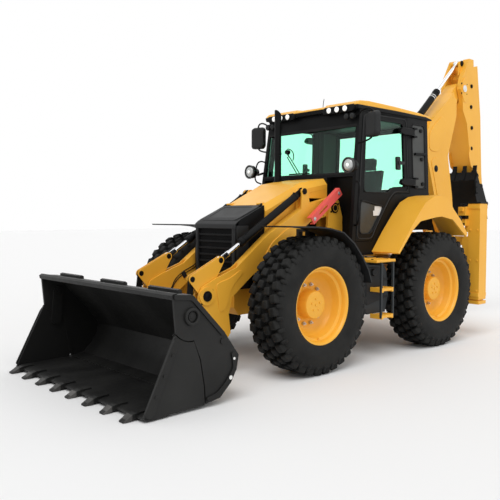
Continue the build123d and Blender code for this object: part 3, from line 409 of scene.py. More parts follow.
# ---------------------------------------------------------------- the model's own pieces
KNUCKLES = [f"{end}_{side}_knuckle" for end in ("front", "rear") for side, _ in SIDES]
NODE_LOOKS = [
    # (material, bevel width, nodes)
    (YELLOW, 0.005, ["loader_arms", "boom", "outer_stick", "inner_stick", "swing_post", "hoe_carriage",
                     "tilt_levers"]),
    (YELLOW, 0.014, ["rear_fenders", "hood"]),
    (YELLOW, 0.006, ["chassis_rails", "chassis_crossings", "loader_towers", "rear_frame", "steps",
                     "stabiliser_housings", "left_stabiliser_leg", "right_stabiliser_leg"]),
    (BLACK, 0.006, ["exhaust", "cab_body", "cab_floor", "cab_wheel_boxes", "cab_bulkhead", "left_door",
                    "right_door"]),
    (BLACK, 0.012, ["nose"]),
    (TANK, 0.014, ["side_tanks"]),
    (YELLOW, 0.02, ["cab_roof"]),
    (RED, 0.006, ["safety_strut"]),
    (BLACK, 0.003, ["lift_barrels", "tilt_barrels", "boom_barrel", "stick_barrel", "hoe_bucket_barrel",
                    "tilt_links"]),
    (BLACK, 0.004, ["guide_links", "hoe_bucket_links", "hoe_bucket"]),
    (BUCKET, 0.004, ["loader_bucket", "bucket_jaw"]),
    (CHROME, 0.0, ["lift_rods", "tilt_rods", "boom_rod", "stick_rod", "hoe_bucket_rod"]),
    (CHARCOAL, 0.01, ["axles", "engine_block"]),
    (GLASS, 0.0, ["cab_glass"]),
    (CHARCOAL, 0.004, KNUCKLES),
]


def dress(node, made, bevel):
    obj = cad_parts[node]
    obj.data.materials.clear()
    obj.data.materials.append(made)
    custom = obj.data.attributes.get("custom_normal")
    if custom:
        obj.data.attributes.remove(custom)
    for face in obj.data.polygons:
        face.use_smooth = True
    obj.modifiers.new("weld", "WELD").merge_threshold = 0.0001
    if bevel:
        add_bevel(obj, bevel)
    shade_by_weight(obj)


for made, bevel, names in NODE_LOOKS:
    for node in names:
        dress(node, made, bevel)

# ---------------------------------------------------------------- roof
ROOF_LAMPS = (0.34, 0.46, 0.58)
ROOF_BAND = [(-1.196, 2.827), (-1.21, 2.876), (-0.5, 2.876), (0.18, 2.866), (0.324, 2.842), (0.316, 2.827)]
POD = [(0.24, 2.8), (0.68, 2.8), (0.715, 2.835), (0.7, 2.886), (0.26, 2.886), (0.225, 2.84)]
piece("roof_band", lambda bm: prism_into(bm, ROOF_BAND, -0.757, 0.757), BLACK, bevel=0.01)
for side, sign in SIDES:
    piece(f"{side}_lamp_pod", lambda bm: plate_into(bm, [(sign * x, z) for x, z in POD], -1.216, -1.1),
          BLACK, bevel=0.012)
    for index, x in enumerate(ROOF_LAMPS):
        round_lamp(f"{side}_roof_lamp_{index + 1}", (sign * x, -1.226, 2.843), (0, -1, -0.04), 0.036, 0.03,
                   LENS)
    for index, x in enumerate((0.606, 0.69)):
        round_lamp(f"{side}_lower_lamp_{index + 1}", (sign * x, -1.232, 2.745), (0, -1, -0.1), 0.034, 0.06,
                   CHARCOAL)
    round_lamp(f"{side}_rear_roof_lamp", (sign * 0.55, 0.345, 2.8), (0, 1, -0.1), 0.05, 0.06, LENS)


def roof_ribs(bm):
    deck_into(bm, [(-0.4, -0.62), (0.4, -0.62), (0.42, -0.02), (-0.42, -0.02)], 2.9, 2.932)
    for x in (-0.52, 0.52):
        deck_into(bm, [(x - 0.02, -0.95), (x + 0.02, -0.95), (x + 0.03, 0.15), (x - 0.03, 0.15)], 2.88, 2.926)


piece("roof_ribs", roof_ribs, YELLOW, bevel=0.01, segments=3)
tube("aerial", [at(0, -0.94, 2.92), at(0, -0.935, 2.99), at(0, -0.92, 3.06)], 0.004, BLACK)
piece("aerial_foot", lambda bm: rod_into(bm, at(0, -0.94, 2.905), at(0, -0.94, 2.945), 0.022, 20, 0.009),
      BLACK, bevel=0.002)

# ---------------------------------------------------------------- cab sides and doors
CAB_HALF = 0.8
CAB_SILL = 1.31
CAB_LEAN = math.tan(math.radians(2.3))


def half_width(z):
    """Outer half width of the cab at a height."""
    return CAB_HALF - CAB_LEAN * (z - CAB_SILL)


def front_y(z):
    """Front face of the leaning windscreen frame at a height."""
    return -1.35 + (z - CAB_SILL) * 0.205 / 1.52


def on_side(sign, proud, y, z):
    """Place on a leaning side of the cab, proud of its outer face."""
    return at(sign * (half_width(z) + proud), y, z)


def side_prism_into(bm, outline, low, high, sign):
    """Adds a (y, z) outline on a leaning side of the cab, between two distances from its outer face."""
    sweep_into(bm, outline, (low, high), lambda proud, y, z: on_side(sign, proud, y, z))


DOOR_WINDOW = [(-1.118, 1.88), (-1.03, 2.735), (-0.3, 2.735), (-0.29, 1.96), (-0.56, 1.945), (-0.64, 1.88)]
DOOR_LOW_WINDOW = [(-1.21, 1.4), (-0.99, 1.4), (-0.79, 1.64), (-0.74, 1.72), (-1.17, 1.79)]
QUARTER_WINDOW = [(-0.115, 1.95), (-0.12, 2.75), (0.165, 2.75), (0.165, 1.95)]
DOOR_SKIN = [(-1.262, 1.345), (-0.985, 1.345), (-0.915, 1.455), (-0.79, 1.61), (-0.705, 1.712),
             (-0.61, 1.826), (-0.51, 1.9), (-0.225, 1.908), (-0.24, 2.79), (-1.075, 2.78)]


def loop_tube(name, outline, proud, radius, made, sign, body):
    """Round trim that follows a rounded outline on a side of the cab."""
    points = rounded(outline, 0.07)
    curve, line = new_curve(name, "POLY", len(points), radius, 3, True)
    for spot, (y, z) in zip(line.points, points):
        spot.co = (*on_side(sign, proud, y, z), 1)
    finish_piece(new_object(name, curve), made, body)


def mirror_place(sign):
    """Where a mirror hangs on its two stays, ahead of the door's sweep."""
    turn = Matrix.Rotation(math.radians(-sign * 14), 4, "Z")
    return Matrix.Translation(at(sign * 0.935, -1.165, 2.635)) @ turn


def quarter_panel(bm, sign):
    side_prism_into(bm, rounded(QUARTER_WINDOW, 0.03), -0.03, -0.006, sign)


def hinge_covers(bm, sign):
    for z in (2.022, 2.642):
        side_prism_into(bm, rounded([(-0.435, z - 0.022), (-0.39, z + 0.04), (-0.17, z + 0.044),
                                     (-0.128, z + 0.02), (-0.128, z - 0.028), (-0.18, z - 0.046),
                                     (-0.36, z - 0.044)], 0.03), 0.001, 0.052, sign)


def door_latch(bm, sign):
    side_prism_into(bm, rounded([(-0.47, 2.165), (-0.47, 2.325), (-0.4, 2.325), (-0.395, 2.165)], 0.02),
                    -0.012, 0.02, sign)
    side_prism_into(
        bm, rounded([(-0.455, 2.225), (-0.455, 2.275), (-0.33, 2.268), (-0.33, 2.232)], 0.012),
        0.012, 0.034, sign)


def quarter_fittings(bm, sign):
    side_prism_into(bm, rounded([(-0.075, 2.365), (-0.07, 2.395), (0.185, 2.405), (0.19, 2.372)], 0.012),
                    -0.008, 0.024, sign)
    for y, z in ((0.08, 2.68), (0.09, 2.32), (0.1, 2.01)):
        side_prism_into(bm, rounded([(y + a * 0.026, z + b * 0.022) for a, b in CORNERS], 0.018),
                        -0.008, 0.012, sign)


def mirror_shell(bm, sign):
    outline = rounded([(-0.098, -0.135), (-0.098, 0.12), (-0.065, 0.142), (0.075, 0.142), (0.1, 0.11),
                       (0.1, -0.105), (0.07, -0.142), (-0.06, -0.142)], 0.05)
    place = mirror_place(sign)
    skin_into(bm, [[bm.verts.new(place @ Vector((x * share, y, z * share))) for x, z in outline]
                   for y, share in ((-0.04, 0.72), (-0.028, 0.92), (0.0, 1.0), (0.03, 1.0))])


def mirror_glass(bm, sign):
    outline = rounded([(-0.086, -0.12), (-0.086, 0.124), (0.088, 0.124), (0.088, -0.12)], 0.04)
    place = mirror_place(sign)
    sweep_into(bm, outline, (0.024, 0.034), lambda y, x, z: place @ Vector((x, y, z)))


pair(quarter_panel, GREY, bevel=0.004)
pair(hinge_covers, BLACK, "{}_door", bevel=0.016, segments=3)
pair(door_latch, CHARCOAL, "{}_door", bevel=0.005)
pair(quarter_fittings, BLACK, bevel=0.004)
pair(mirror_shell, CHARCOAL, bevel=0.006)
pair(mirror_glass, CHROME, smooth=False)
for side, sign in SIDES:
    door = f"{side}_door"
    for name, window, made in (
            ("door_glass", DOOR_WINDOW, GLASS), ("door_low_glass", DOOR_LOW_WINDOW, DARK_GLASS)):
        piece(f"{side}_{name}", lambda bm: side_prism_into(bm, grown(window, 0.006), -0.022, -0.015, sign),
              made, door, smooth=False)
        loop_tube(f"{side}_{name}_seal", window, -0.003, 0.009, HOSE, sign, door)
    loop_tube(f"{side}_door_edge", DOOR_SKIN, 0.0, 0.008, CHARCOAL, sign, door)
    loop_tube(f"{side}_quarter_seal", QUARTER_WINDOW, -0.002, 0.01, HOSE, sign, "chassis")
    tube(f"{side}_grab_rail", [on_side(sign, *place) for place in (
        (0.0, -1.285, 1.5), (0.045, -1.295, 1.52), (0.05, -1.275, 1.78), (0.048, -1.262, 1.98),
        (0.0, -1.248, 2.0))], 0.011, BLACK)
    for name, points in (
            ("upper_stay", [(0.728, -1.165, 2.755), (0.8, -1.172, 2.805), (0.89, -1.172, 2.818),
                            (0.928, -1.168, 2.79), (0.935, -1.165, 2.76)]),
            ("lower_stay", [(0.742, -1.185, 2.435), (0.84, -1.178, 2.452), (0.915, -1.17, 2.482),
                            (0.935, -1.165, 2.51)])):
        tube(f"{side}_mirror_{name}", mirrored(sign, points), 0.01, BLACK)

    # work lamp on a bent arm from the front pillar
    lamp = (sign * 0.81, -1.435, 2.172)
    round_lamp(f"{side}_work_lamp", lamp, (0, -1, -0.03), 0.074, 0.135, REFLECTOR)
    piece(f"{side}_work_lamp_bulb", lambda bm: dome_into(
        bm, at(*lamp) - Vector((0, 0.015, 0)), (0, -1, 0), 0.022, 0.012), LENS)
    piece(f"{side}_work_lamp_rim", lambda bm: revolve_into(
        bm, [(-0.004, 0.076), (0.01, 0.074), (0.016, 0.08), (0.01, 0.088), (-0.004, 0.088)], 36,
        Matrix.Translation(at(*lamp)) @ Matrix.Rotation(math.radians(-90), 4, "Z")), GREY)
    tube(f"{side}_work_lamp_arm", mirrored(sign, (
        (0.81, -1.325, 2.15), (0.812, -1.29, 2.14), (0.79, -1.262, 2.15), (0.755, -1.245, 2.16))),
        0.014, BLACK)

tube("windscreen_grab", mirrored(-1, (
    (0.752, -1.222, 2.305), (0.775, -1.275, 2.312), (0.8, -1.3, 2.29), (0.815, -1.318, 2.18),
    (0.812, -1.322, 2.06), (0.775, -1.262, 2.02))), 0.009, BLACK)


def wiper(bm):
    stud_into(bm, (-0.347, -1.19, 2.406), -0.05, 0.03, 24, 0.024, axis="y")
    for top, low in (((-0.335, 2.344), (-0.14, 2.118)), ((-0.284, 2.332), (-0.092, 2.116))):
        rod_into(bm, at(top[0], front_y(top[1]) - 0.02, top[1]), at(low[0], front_y(low[1]) - 0.012, low[1]),
                 0.006, 12)
    rod_into(bm, at(-0.347, -1.232, 2.4), at(-0.29, front_y(2.34) - 0.022, 2.335), 0.01, 16, 0.007)
    block_into(bm, (-0.112, front_y(2.118) - 0.006, 2.122), (0.34, 0.014, 0.016))


piece("wiper", wiper, BLACK, bevel=0.002)
tube("washer_pipe", mirrored(-1, (
    (0.347, -1.232, 2.425), (0.3, -1.25, 2.44), (0.232, -1.245, 2.405), (0.215, -1.238, 2.345),
    (0.228, -1.238, 2.295))), 0.006, BLACK)


def screen_trim(bm):
    for z0, z1 in ((2.628, 2.66), (2.086, 2.112)):
        reach = half_width(z1) - 0.03
        prism_into(bm, [(front_y(z) + proud, z) for z, proud in (
            (z0, -0.004), (z1, -0.004), (z1, 0.03), (z0, 0.03))], -reach, reach)


piece("windscreen_trim", screen_trim, HOSE, bevel=0.003)
piece("paper_holder", lambda bm: side_prism_into(
    bm, [(-0.925, 1.61), (-0.925, 1.67), (-0.9, 1.665), (-0.895, 1.72), (-0.715, 1.722), (-0.722, 1.655),
         (-0.775, 1.652), (-0.78, 1.612)], -0.014, -0.012, 1), WHITE, "left_door", smooth=False)

# ---------------------------------------------------------------- inside the cab
SEAT_Y = -0.3
SHOULDER = 0.16             # share of its width that a pad loses at its top corners
PAD_SWELL = 0.012           # furthest that the cloth may move a pad's skin
SWELL_FRAMES = 20


def pad_mesh(name, size, crown, place, dip):
    """Closed crowned form with pulled-in sides and narrower shoulders, the start of a stuffed pad."""
    bm = bmesh.new()
    bmesh.ops.create_cube(bm, size=1.0)
    bmesh.ops.subdivide_edges(bm, edges=bm.edges, cuts=7, use_grid_fill=True)
    for v in bm.verts:
        x, y, z = (c * 2 for c in v.co)
        v.co = Vector((
            x * size[0] / 2 * (1 - 0.05 * (1 - y * y)) * (1 - SHOULDER * max(y, 0) ** 3),
            y * size[1] / 2 * (1 - 0.07 * (1 - x * x) * y ** 6),
            z * size[2] / 2 + crown * (1 - x * x) * (1 - y * y) * max(z, 0)))
    turn = Matrix.Translation(at(*place)) @ Matrix.Rotation(math.radians(dip), 4, "X")
    bmesh.ops.transform(bm, matrix=turn, verts=bm.verts)
    return new_object(name, mesh_from(name, bm))


def bake_modifiers(obj):
    """Turns an object's modifiers into its mesh."""
    depsgraph = bpy.context.evaluated_depsgraph_get()
    mesh = bpy.data.meshes.new_from_object(obj.evaluated_get(depsgraph))
    obj.modifiers.clear()
    obj.data = mesh


def swell(obj):
    """Lets cloth under pressure swell a closed mesh, by PAD_SWELL at most."""
    rest = [v.co.copy() for v in obj.data.vertices]
    cloth = obj.modifiers.new("swell", "CLOTH")
    cloth.settings.use_pressure = True
    cloth.settings.uniform_pressure_force = 4
    cloth.settings.effector_weights.gravity = 0
    scene = bpy.context.scene
    for step in range(SWELL_FRAMES):
        scene.frame_set(step + 1)
    bake_modifiers(obj)
    scene.frame_set(1)
    for v, start in zip(obj.data.vertices, rest):
        move = v.co - start
        if move.length > PAD_SWELL:
            v.co = start + move.normalized() * PAD_SWELL


def stuffed(name, size, crown, place, dip):
    """Seat pad: a soft form, remeshed and swollen by the cloth simulation."""
    obj = pad_mesh(name, size, crown, place, dip)
    bpy.context.view_layer.objects.active = obj
    soften = obj.modifiers.new("round", "SUBSURF")
    soften.levels = soften.render_levels = 2
    cells = obj.modifiers.new("cells", "REMESH")
    cells.mode = "VOXEL"
    cells.voxel_size = 0.011
    bake_modifiers(obj)
    swell(obj)
    finish_piece(obj, CLOTH)


stuffed("seat_cushion", (0.46, 0.46, 0.11), 0.02, (0, SEAT_Y - 0.02, 1.555), 3)
stuffed("seat_backrest", (0.44, 0.58, 0.1), 0.02, (0, SEAT_Y + 0.215, 1.93), 78)
stuffed("seat_headrest", (0.26, 0.16, 0.08), 0.01, (0, SEAT_Y + 0.275, 2.29), 80)


def seat_base(bm):
    block_into(bm, (0, SEAT_Y, 1.285), (0.34, 0.36, 0.2))
    block_into(bm, (0, SEAT_Y, 1.225), (0.46, 0.46, 0.05))
    block_into(bm, (0, SEAT_Y, 1.465), (0.44, 0.44, 0.05))
    for z in (1.395, 1.42, 1.445):
        block_into(bm, (0, SEAT_Y, z), (0.33, 0.34, 0.016))
    block_into(bm, (0, SEAT_Y + 0.275, 1.91), (0.4, 0.05, 0.6), 0, -12)
    for _, sign in SIDES:
        rod_into(bm, at(sign * 0.05, SEAT_Y + 0.27, 2.16), at(sign * 0.05, SEAT_Y + 0.285, 2.27), 0.007, 12)
        block_into(bm, (sign * 0.285, SEAT_Y - 0.02, 1.735), (0.075, 0.3, 0.045))
        block_into(bm, (sign * 0.275, SEAT_Y + 0.12, 1.635), (0.035, 0.05, 0.2))


STEERING_HUB = (0, -0.866, 1.9)
RING_R = 0.19


def controls(bm):
    rod_into(bm, at(0, -1.085, 1.2), at(0, -0.955, 1.8), 0.045, 24, 0.038)
    block_into(bm, (0, -1.03, 1.79), (0.3, 0.17, 0.15), 0, 12)
    block_into(bm, (0, -1.01, 1.9), (0.34, 0.13, 0.09), 0, -25)
    rod_into(bm, at(0, -0.95, 1.82), at(0, -0.868, 1.9), 0.026, 20)
    rod_into(bm, at(0, -0.876, 1.892), at(0, -0.856, 1.912), 0.055, 28, 0.045)
    for turn in (90, 210, 330):
        a = math.radians(turn)
        spoke = Vector((math.cos(a), -math.sin(a) * 0.9, math.sin(a) * 0.42)) * 0.185
        rod_into(bm, at(*STEERING_HUB), at(*STEERING_HUB) + spoke, 0.011, 12)
    for _, sign in SIDES:
        x = sign * 0.285
        rod_into(bm, at(x, SEAT_Y - 0.14, 1.75), at(x, SEAT_Y - 0.15, 1.86), 0.009, 12, 0.012)
        dome_into(bm, at(x, SEAT_Y - 0.15, 1.855), (0, 0, 1), 0.024, 0.045)
    block_into(bm, (-0.48, -0.45, 1.55), (0.18, 0.75, 0.18))
    block_into(bm, (-0.5, -0.6, 1.66), (0.14, 0.34, 0.06), 0, 8)
    for x in (-0.53, -0.49, -0.45):
        rod_into(bm, at(x, -0.55, 1.66), at(x, -0.565, 1.76), 0.006, 10)
        dome_into(bm, at(x, -0.565, 1.755), (0, 0, 1), 0.014, 0.022)
    block_into(bm, (-0.56, -0.93, 1.99), (0.15, 0.05, 0.19), -35)


def headliner(bm):
    block_into(bm, (0, -0.44, 2.795), (1.36, 1.24, 0.055))
    block_into(bm, (0, -1.085, 2.76), (1.3, 0.05, 0.08), 0, -8)
    block_into(bm, (0.0, -0.52, 2.755), (0.3, 0.4, 0.05))


base = piece("seat_base", seat_base, CHARCOAL, bevel=0.008)
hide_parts("cab_interior")
piece("controls", controls, CHARCOAL, bevel=0.006)
piece("headliner", headliner, GREY, bevel=0.01)
steering_turn = Matrix.Translation(at(*STEERING_HUB)) @ Matrix.Rotation(math.radians(25), 4, "X")
tube("steering_wheel", [steering_turn @ Vector((RING_R * math.cos(a), RING_R * math.sin(a), 0)) for a in
                        (math.radians(30 * k) for k in range(12))], 0.015, BLACK, cyclic=True)

# ---------------------------------------------------------------- nose and hood
def nose_panel(bm):
    """Raised top panel with a softly sunk middle."""
    outer = [(-0.3, -2.64), (0.3, -2.64), (0.315, -2.29), (-0.315, -2.29)]
    inner = [(-0.235, -2.59), (0.235, -2.59), (0.25, -2.335), (-0.25, -2.335)]

    def top(y, lift):
        if y < -2.617:
            return 1.522 + (y + 2.677) * 0.8 + lift
        return 1.57 + (y + 2.617) * 0.441 + lift

    skin_into(bm, [
        [bm.verts.new(at(x * share, (y - centre) * share + centre, top(y, lift)))
         for x, y in rounded(outline, radius)]
        for outline, radius, centre, share, lift in (
            (outer, 0.06, -2.465, 1, -0.006), (outer, 0.06, -2.465, 0.985, 0.012),
            (inner, 0.05, -2.46, 1, 0.012), (inner, 0.05, -2.46, 0.97, 0.006))])


piece("nose_panel", nose_panel, CHARCOAL, bevel=0.003)


def nose_frame(bm):
    for _, sign in SIDES:
        deck_into(bm, [(sign * x, y) for x, y in rounded(
            [(0.285, -2.694), (0.32, -2.694), (0.344, -2.668), (0.344, -2.5), (0.325, -2.5), (0.285, -2.66)],
            0.02)], 0.85, 1.505)
    prism_into(bm, rounded([(-2.694, 1.47), (-2.69, 1.52), (-2.64, 1.56), (-2.63, 1.545), (-2.66, 1.48)],
                           0.012), -0.34, 0.34)
    prism_into(bm, [(-2.69, 0.845), (-2.694, 0.905), (-2.65, 0.905), (-2.65, 0.845)], -0.34, 0.34)


piece("nose_frame", nose_frame, CHARCOAL, bevel=0.01, segments=3)


def grille_mesh(bm):
    """Upright and level wires, evenly spaced."""
    wire_half = 0.0022
    for index in range(57):
        x = -0.294 + 0.588 * index / 56
        prism_into(bm, [(-2.668, 0.905), (-2.668, 1.48), (-2.66, 1.48), (-2.66, 0.905)],
                   x - wire_half, x + wire_half)
    for index in range(29):
        low = 0.915 + 0.555 * index / 28 - wire_half
        high = low + 2 * wire_half
        prism_into(bm, [(-2.664, low), (-2.664, high), (-2.656, high), (-2.656, low)], -0.296, 0.296)


piece("grille_mesh", grille_mesh, BLACK, smooth=False)


def hood_trim(bm):
    """Raised side flare and crease below the hood's shoulder."""
    for _, sign in SIDES:
        skin_into(bm, [
            [bm.verts.new(at(sign * (half + proud), y, top + lift)) for proud, lift in
             ((-0.004, 0.01), (0.002, 0.004), (0.002, -0.05), (-0.004, -0.056))]
            for y, half, top in ((-2.25, 0.35, 1.64), (-2.0, 0.364, 1.755), (-1.69, 0.376, 1.905),
                                 (-1.33, 0.389, 1.972))])


piece("hood_trim", hood_trim, YELLOW, "hood", bevel=0.001)


def stack_bands(bm):
    x, y = -0.33, -1.4
    for z in (2.05, 2.36):
        stud_into(bm, (x, y, z), 0.028, 0.0455, 32, axis="z")
        block_into(bm, (x + 0.048, y, z + 0.014), (0.016, 0.02, 0.024))
    stud_into(bm, (x, y, 2.02), 0.02, 0.052, 32, axis="z")


piece("stack_bands", stack_bands, BLACK, bevel=0.002)

# ---------------------------------------------------------------- loader arms, levers and rams
ARM_IN = 0.397              # x of an arm's lines, its outer face, its bosses and its middle
ARM_OUT = 0.49
ARM_BOSS = 0.504
ARM_MID = 0.445
ARM_PIVOT = (-1.33, 1.7)
LEVER_PIN = (-3.19, 0.829)
BUCKET_PIN = (-3.3, 0.385)
TILT_BASE = (-1.8, 1.88)
LEVER_TOP = (-2.985, 1.167)
LINK_TOP = (-3.34, 1.0)
LIFT_LOW = (-1.25, 0.88)
LIFT_TOP = (-2.23, 1.185)
TOWER_OUT = 0.528
STRUT_FOOT = (-1.79, 1.55)
STRUT_HEAD = (-1.31, 1.89)


def arm_pins(bm):
    both_pins(bm, ARM_BOSS, LEVER_PIN, 0.052)
    both_pins(bm, ARM_BOSS, BUCKET_PIN, 0.046)
    both_pins(bm, ARM_OUT, TILT_BASE, 0.034)
    both_pins(bm, ARM_OUT, LIFT_TOP, 0.036)
    both_bolts(bm, ARM_OUT, ((-3.12, 0.88), (-3.245, 0.76), (-3.33, 0.45), (-3.262, 0.345)), 0.012)


def arm_plates(bm):
    """Doubler plates and weld pads on the outer side plates."""
    pads_into(bm, ARM_OUT, 0.008, (
        ([(-2.42, 1.18), (-2.3, 1.33), (-2.08, 1.47), (-1.98, 1.5), (-2.02, 1.42), (-2.16, 1.27),
          (-2.24, 1.14)], 0.05),
        ([(-1.5, 1.6), (-1.5, 1.745), (-1.33, 1.795), (-1.255, 1.755), (-1.248, 1.645), (-1.3, 1.615)],
         0.05),
        ([(-3.08, 0.94), (-2.88, 0.99), (-2.76, 1.06), (-2.7, 1.04), (-2.86, 0.9), (-2.93, 0.7),
          (-3.02, 0.64)], 0.06)))


def tower_pins(bm):
    both_pins(bm, TOWER_OUT, ARM_PIVOT, 0.06, 0.012)
    both_pins(bm, TOWER_OUT, LIFT_LOW, 0.04)
    both_bolts(bm, TOWER_OUT, (
        (-1.392, 1.655), (-1.268, 1.745), (-1.3, 0.93), (-1.2, 0.84), (-1.42, 1.1), (-1.24, 1.1),
        (-1.41, 1.38), (-1.24, 1.38)), 0.013)


piece("arm_pins", arm_pins, BLACK, "loader", bevel=0.002)
piece("arm_plates", arm_plates, YELLOW, "loader", bevel=0.004)
piece("tower_pins", tower_pins, BLACK, bevel=0.002)


def arm_clips(bm, sign):
    for y, z in ((-2.2, 1.345), (-2.5, 1.15), (-2.8, 0.96)):
        block_into(bm, (sign * ARM_IN, y, z), (0.014, 0.05, 0.075), 0, 30)


def lever_pins(bm, sign):
    for place in (LEVER_TOP, LINK_TOP):
        for way in (1, -1):
            pin_into(bm, sign * (ARM_MID + way * 0.021), place, 0.028, 0.0025, sign * way)


pair(arm_clips, CHARCOAL, "loader", bevel=0.003)
pair(lever_pins, BLACK, "tilt_levers", bevel=0.0005)
for side, sign in SIDES:
    for index, lift in enumerate((0.0, 0.03)):
        tube(f"{side}_arm_line_{index + 1}", [at(sign * ARM_IN, y, z - lift) for y, z in (
            (-2.16, 1.385), (-2.36, 1.26), (-2.64, 1.07), (-2.9, 0.93), (-2.985, 0.8))],
            0.005, BLACK, "loader")
    middle_x = sign * ARM_MID
    for name, foot, head, radius, length in (
            ("tilt", TILT_BASE, LEVER_TOP, 0.04, 1.08), ("lift", LIFT_LOW, LIFT_TOP, 0.038, 0.88)):
        first, last = 0.15, length - 0.095

        def collars(bm):
            collars_into(bm, middle_x, foot, head, radius, (
                (length - 0.058, 0.05, 0.007), (length - 0.075, 0.012, 0.003), (0.115, 0.02, 0.003)))
            for distance in (first, last):
                y, z = along(foot, head, distance)
                rod_into(bm, at(middle_x, y, z), at(middle_x, y + 0.01, z + radius + 0.022), 0.015, 16, 0.013)

        piece(f"{side}_{name}_collars", collars, BLACK, f"{name}_barrels", bevel=0.002)
        pipe = []
        for distance in (first, 0.2, 0.4, length - 0.3, length - 0.13, last):
            y, z = along(foot, head, distance)
            rise = 0.02 if distance in (first, last) else 0.012
            pipe.append(at(middle_x, y + 0.01, z + radius + rise))
        tube(f"{side}_{name}_pipe", pipe, 0.006, BLACK, f"{name}_barrels")

# pins at both ends of the red safety strut
piece("red_strut_fittings", lambda bm: [
    pin_into(bm, 0.605, along(STRUT_FOOT, STRUT_HEAD, distance), 0.02, 0.006, 1)
    for distance in (0.045, 0.545)], STEEL, bevel=0.001)

# ---------------------------------------------------------------- bucket
BUCKET_HALF = 1.21
JAW_PIN = (-3.92, 0.79)
TEETH = [-1.068 + 2.136 * k / 7 for k in range(8)]      # x of each


def bucket_plates(bm):
    """Edge bars, corner doublers and wear strips of the bucket's back half."""
    pads_into(bm, BUCKET_HALF, 0.014, (
        ([(-4.098, 0.983), (-3.912, 0.968), (-3.565, 0.612), (-3.6, 0.59), (-3.925, 0.925), (-4.098, 0.942)],
         0.02),
        ([(-3.47, 0.44), (-3.435, 0.29), (-3.52, 0.175), (-3.64, 0.075), (-3.76, 0.052), (-3.775, 0.09),
          (-3.655, 0.115), (-3.555, 0.2), (-3.475, 0.3), (-3.5, 0.43)], 0.04)))
    for x in (-0.9, -0.55, -0.2, 0.2, 0.55, 0.9):
        prism_into(bm, [(-3.432, 0.27), (-3.498, 0.16), (-3.622, 0.05), (-3.76, 0.03), (-3.76, 0.022),
                        (-3.63, 0.036), (-3.508, 0.146), (-3.44, 0.262)], x - 0.035, x + 0.035)
    prism_into(bm, [(-4.11, 0.94), (-4.118, 0.975), (-4.09, 0.992), (-4.06, 0.988), (-4.06, 0.948)],
               -BUCKET_HALF, BUCKET_HALF)


def bucket_rings(bm):
    """Bearing ring and pin plate at the jaw's hinge, and the boss behind them."""
    for _, sign in SIDES:
        place = Matrix.Translation(at(sign * (BUCKET_HALF + 0.008), *JAW_PIN))
        facing = Matrix.Rotation(math.pi if sign < 0 else 0.0, 4, "Z")
        revolve_into(bm, [(-0.01, 0.05), (0.012, 0.05), (0.016, 0.058), (0.012, 0.074), (-0.01, 0.078)], 40,
                     place @ facing)
        pin_into(bm, sign * (BUCKET_HALF + 0.002), JAW_PIN, 0.036, 0.008, sign)
        stud_into(bm, (sign * BUCKET_HALF, -3.59, 0.545), sign * 0.01, 0.026, 24)


def seam_backing(bm):
    """Strip inside each side wall that closes the running gap between bucket and jaw."""
    y, z = JAW_PIN
    arc = [math.radians(219 + 59 * k / 12) for k in range(13)]
    outer, inner = ([(y + r * math.cos(a), z + r * math.sin(a)) for a in arc] for r in (0.222, 0.188))
    low = [(-3.842, 0.42), (-3.802, 0.2), (-3.79, 0.09)]
    outline = outer + low + [(y + 0.034, z) for y, z in reversed(low)] + inner[::-1]
    for _, sign in SIDES:
        prism_into(bm, outline, sign * 1.1795, sign * 1.184)


BUCKET_HOLES = [(-3.47, 0.38, 0.012), (-3.51, 0.22, 0.018)]      # (y, z, radius)


def bucket_holes(bm):
    for _, sign in SIDES:
        for y, z, radius in BUCKET_HOLES:
            stud_into(bm, (sign * BUCKET_HALF, y, z), sign * 0.017, radius, 24)


def jaw_edges(bm):
    prism_into(bm, [(-4.392, 0.028), (-4.345, 0.01), (-4.16, 0.012), (-4.16, 0.024), (-4.345, 0.026),
                    (-4.38, 0.044)], -BUCKET_HALF, BUCKET_HALF)
    pads_into(bm, BUCKET_HALF, 0.014, [
        ([(-4.075, 0.64), (-4.11, 0.6), (-4.39, 0.06), (-4.34, 0.026), (-4.3, 0.05), (-4.07, 0.56)],
         0.02)])
    for _, sign in SIDES:
        for y, z in ((-4.12, 0.5), (-4.2, 0.345), (-4.28, 0.19)):
            stud_into(bm, (sign * BUCKET_HALF, y, z), sign * 0.022, 0.015, 6)


def tooth_adapters(bm):
    for x in TEETH:
        prism_into(bm, rounded([
            (-4.27, 0.052), (-4.275, 0.068), (-4.385, 0.064), (-4.43, 0.046), (-4.43, 0.018), (-4.385, 0.008),
            (-4.36, 0.016), (-4.385, 0.04), (-4.335, 0.056)], 0.008), x - 0.035, x + 0.035)
        for reach in (-0.038, 0.038):
            stud_into(bm, (x, -4.408, 0.034), reach, 0.009, 12)


def tooth_points(bm):
    for x in TEETH:
        skin_into(bm, [
            [bm.verts.new(at(x + way * half, y, z))
             for way, z in ((-1, low), (1, low), (1, high), (-1, high))]
            for y, half, low, high in ((-4.425, 0.042, 0.01, 0.058), (-4.455, 0.04, 0.006, 0.04),
                                       (-4.504, 0.034, 0.004, 0.013))])


piece("bucket_plates", bucket_plates, BUCKET, "loader_bucket", bevel=0.004)
piece("bucket_rings", bucket_rings, BUCKET, "loader_bucket", bevel=0.002)
piece("seam_backing", seam_backing, BUCKET, "loader_bucket", smooth=False)
piece("bucket_holes", bucket_holes, WHITE, "loader_bucket", bevel=0.001)
piece("jaw_edges", jaw_edges, BUCKET, "bucket_jaw", bevel=0.004)
piece("tooth_adapters", tooth_adapters, BUCKET, "bucket_jaw", bevel=0.004)
piece("tooth_points", tooth_points, TOOTH, "bucket_jaw", bevel=0.003)

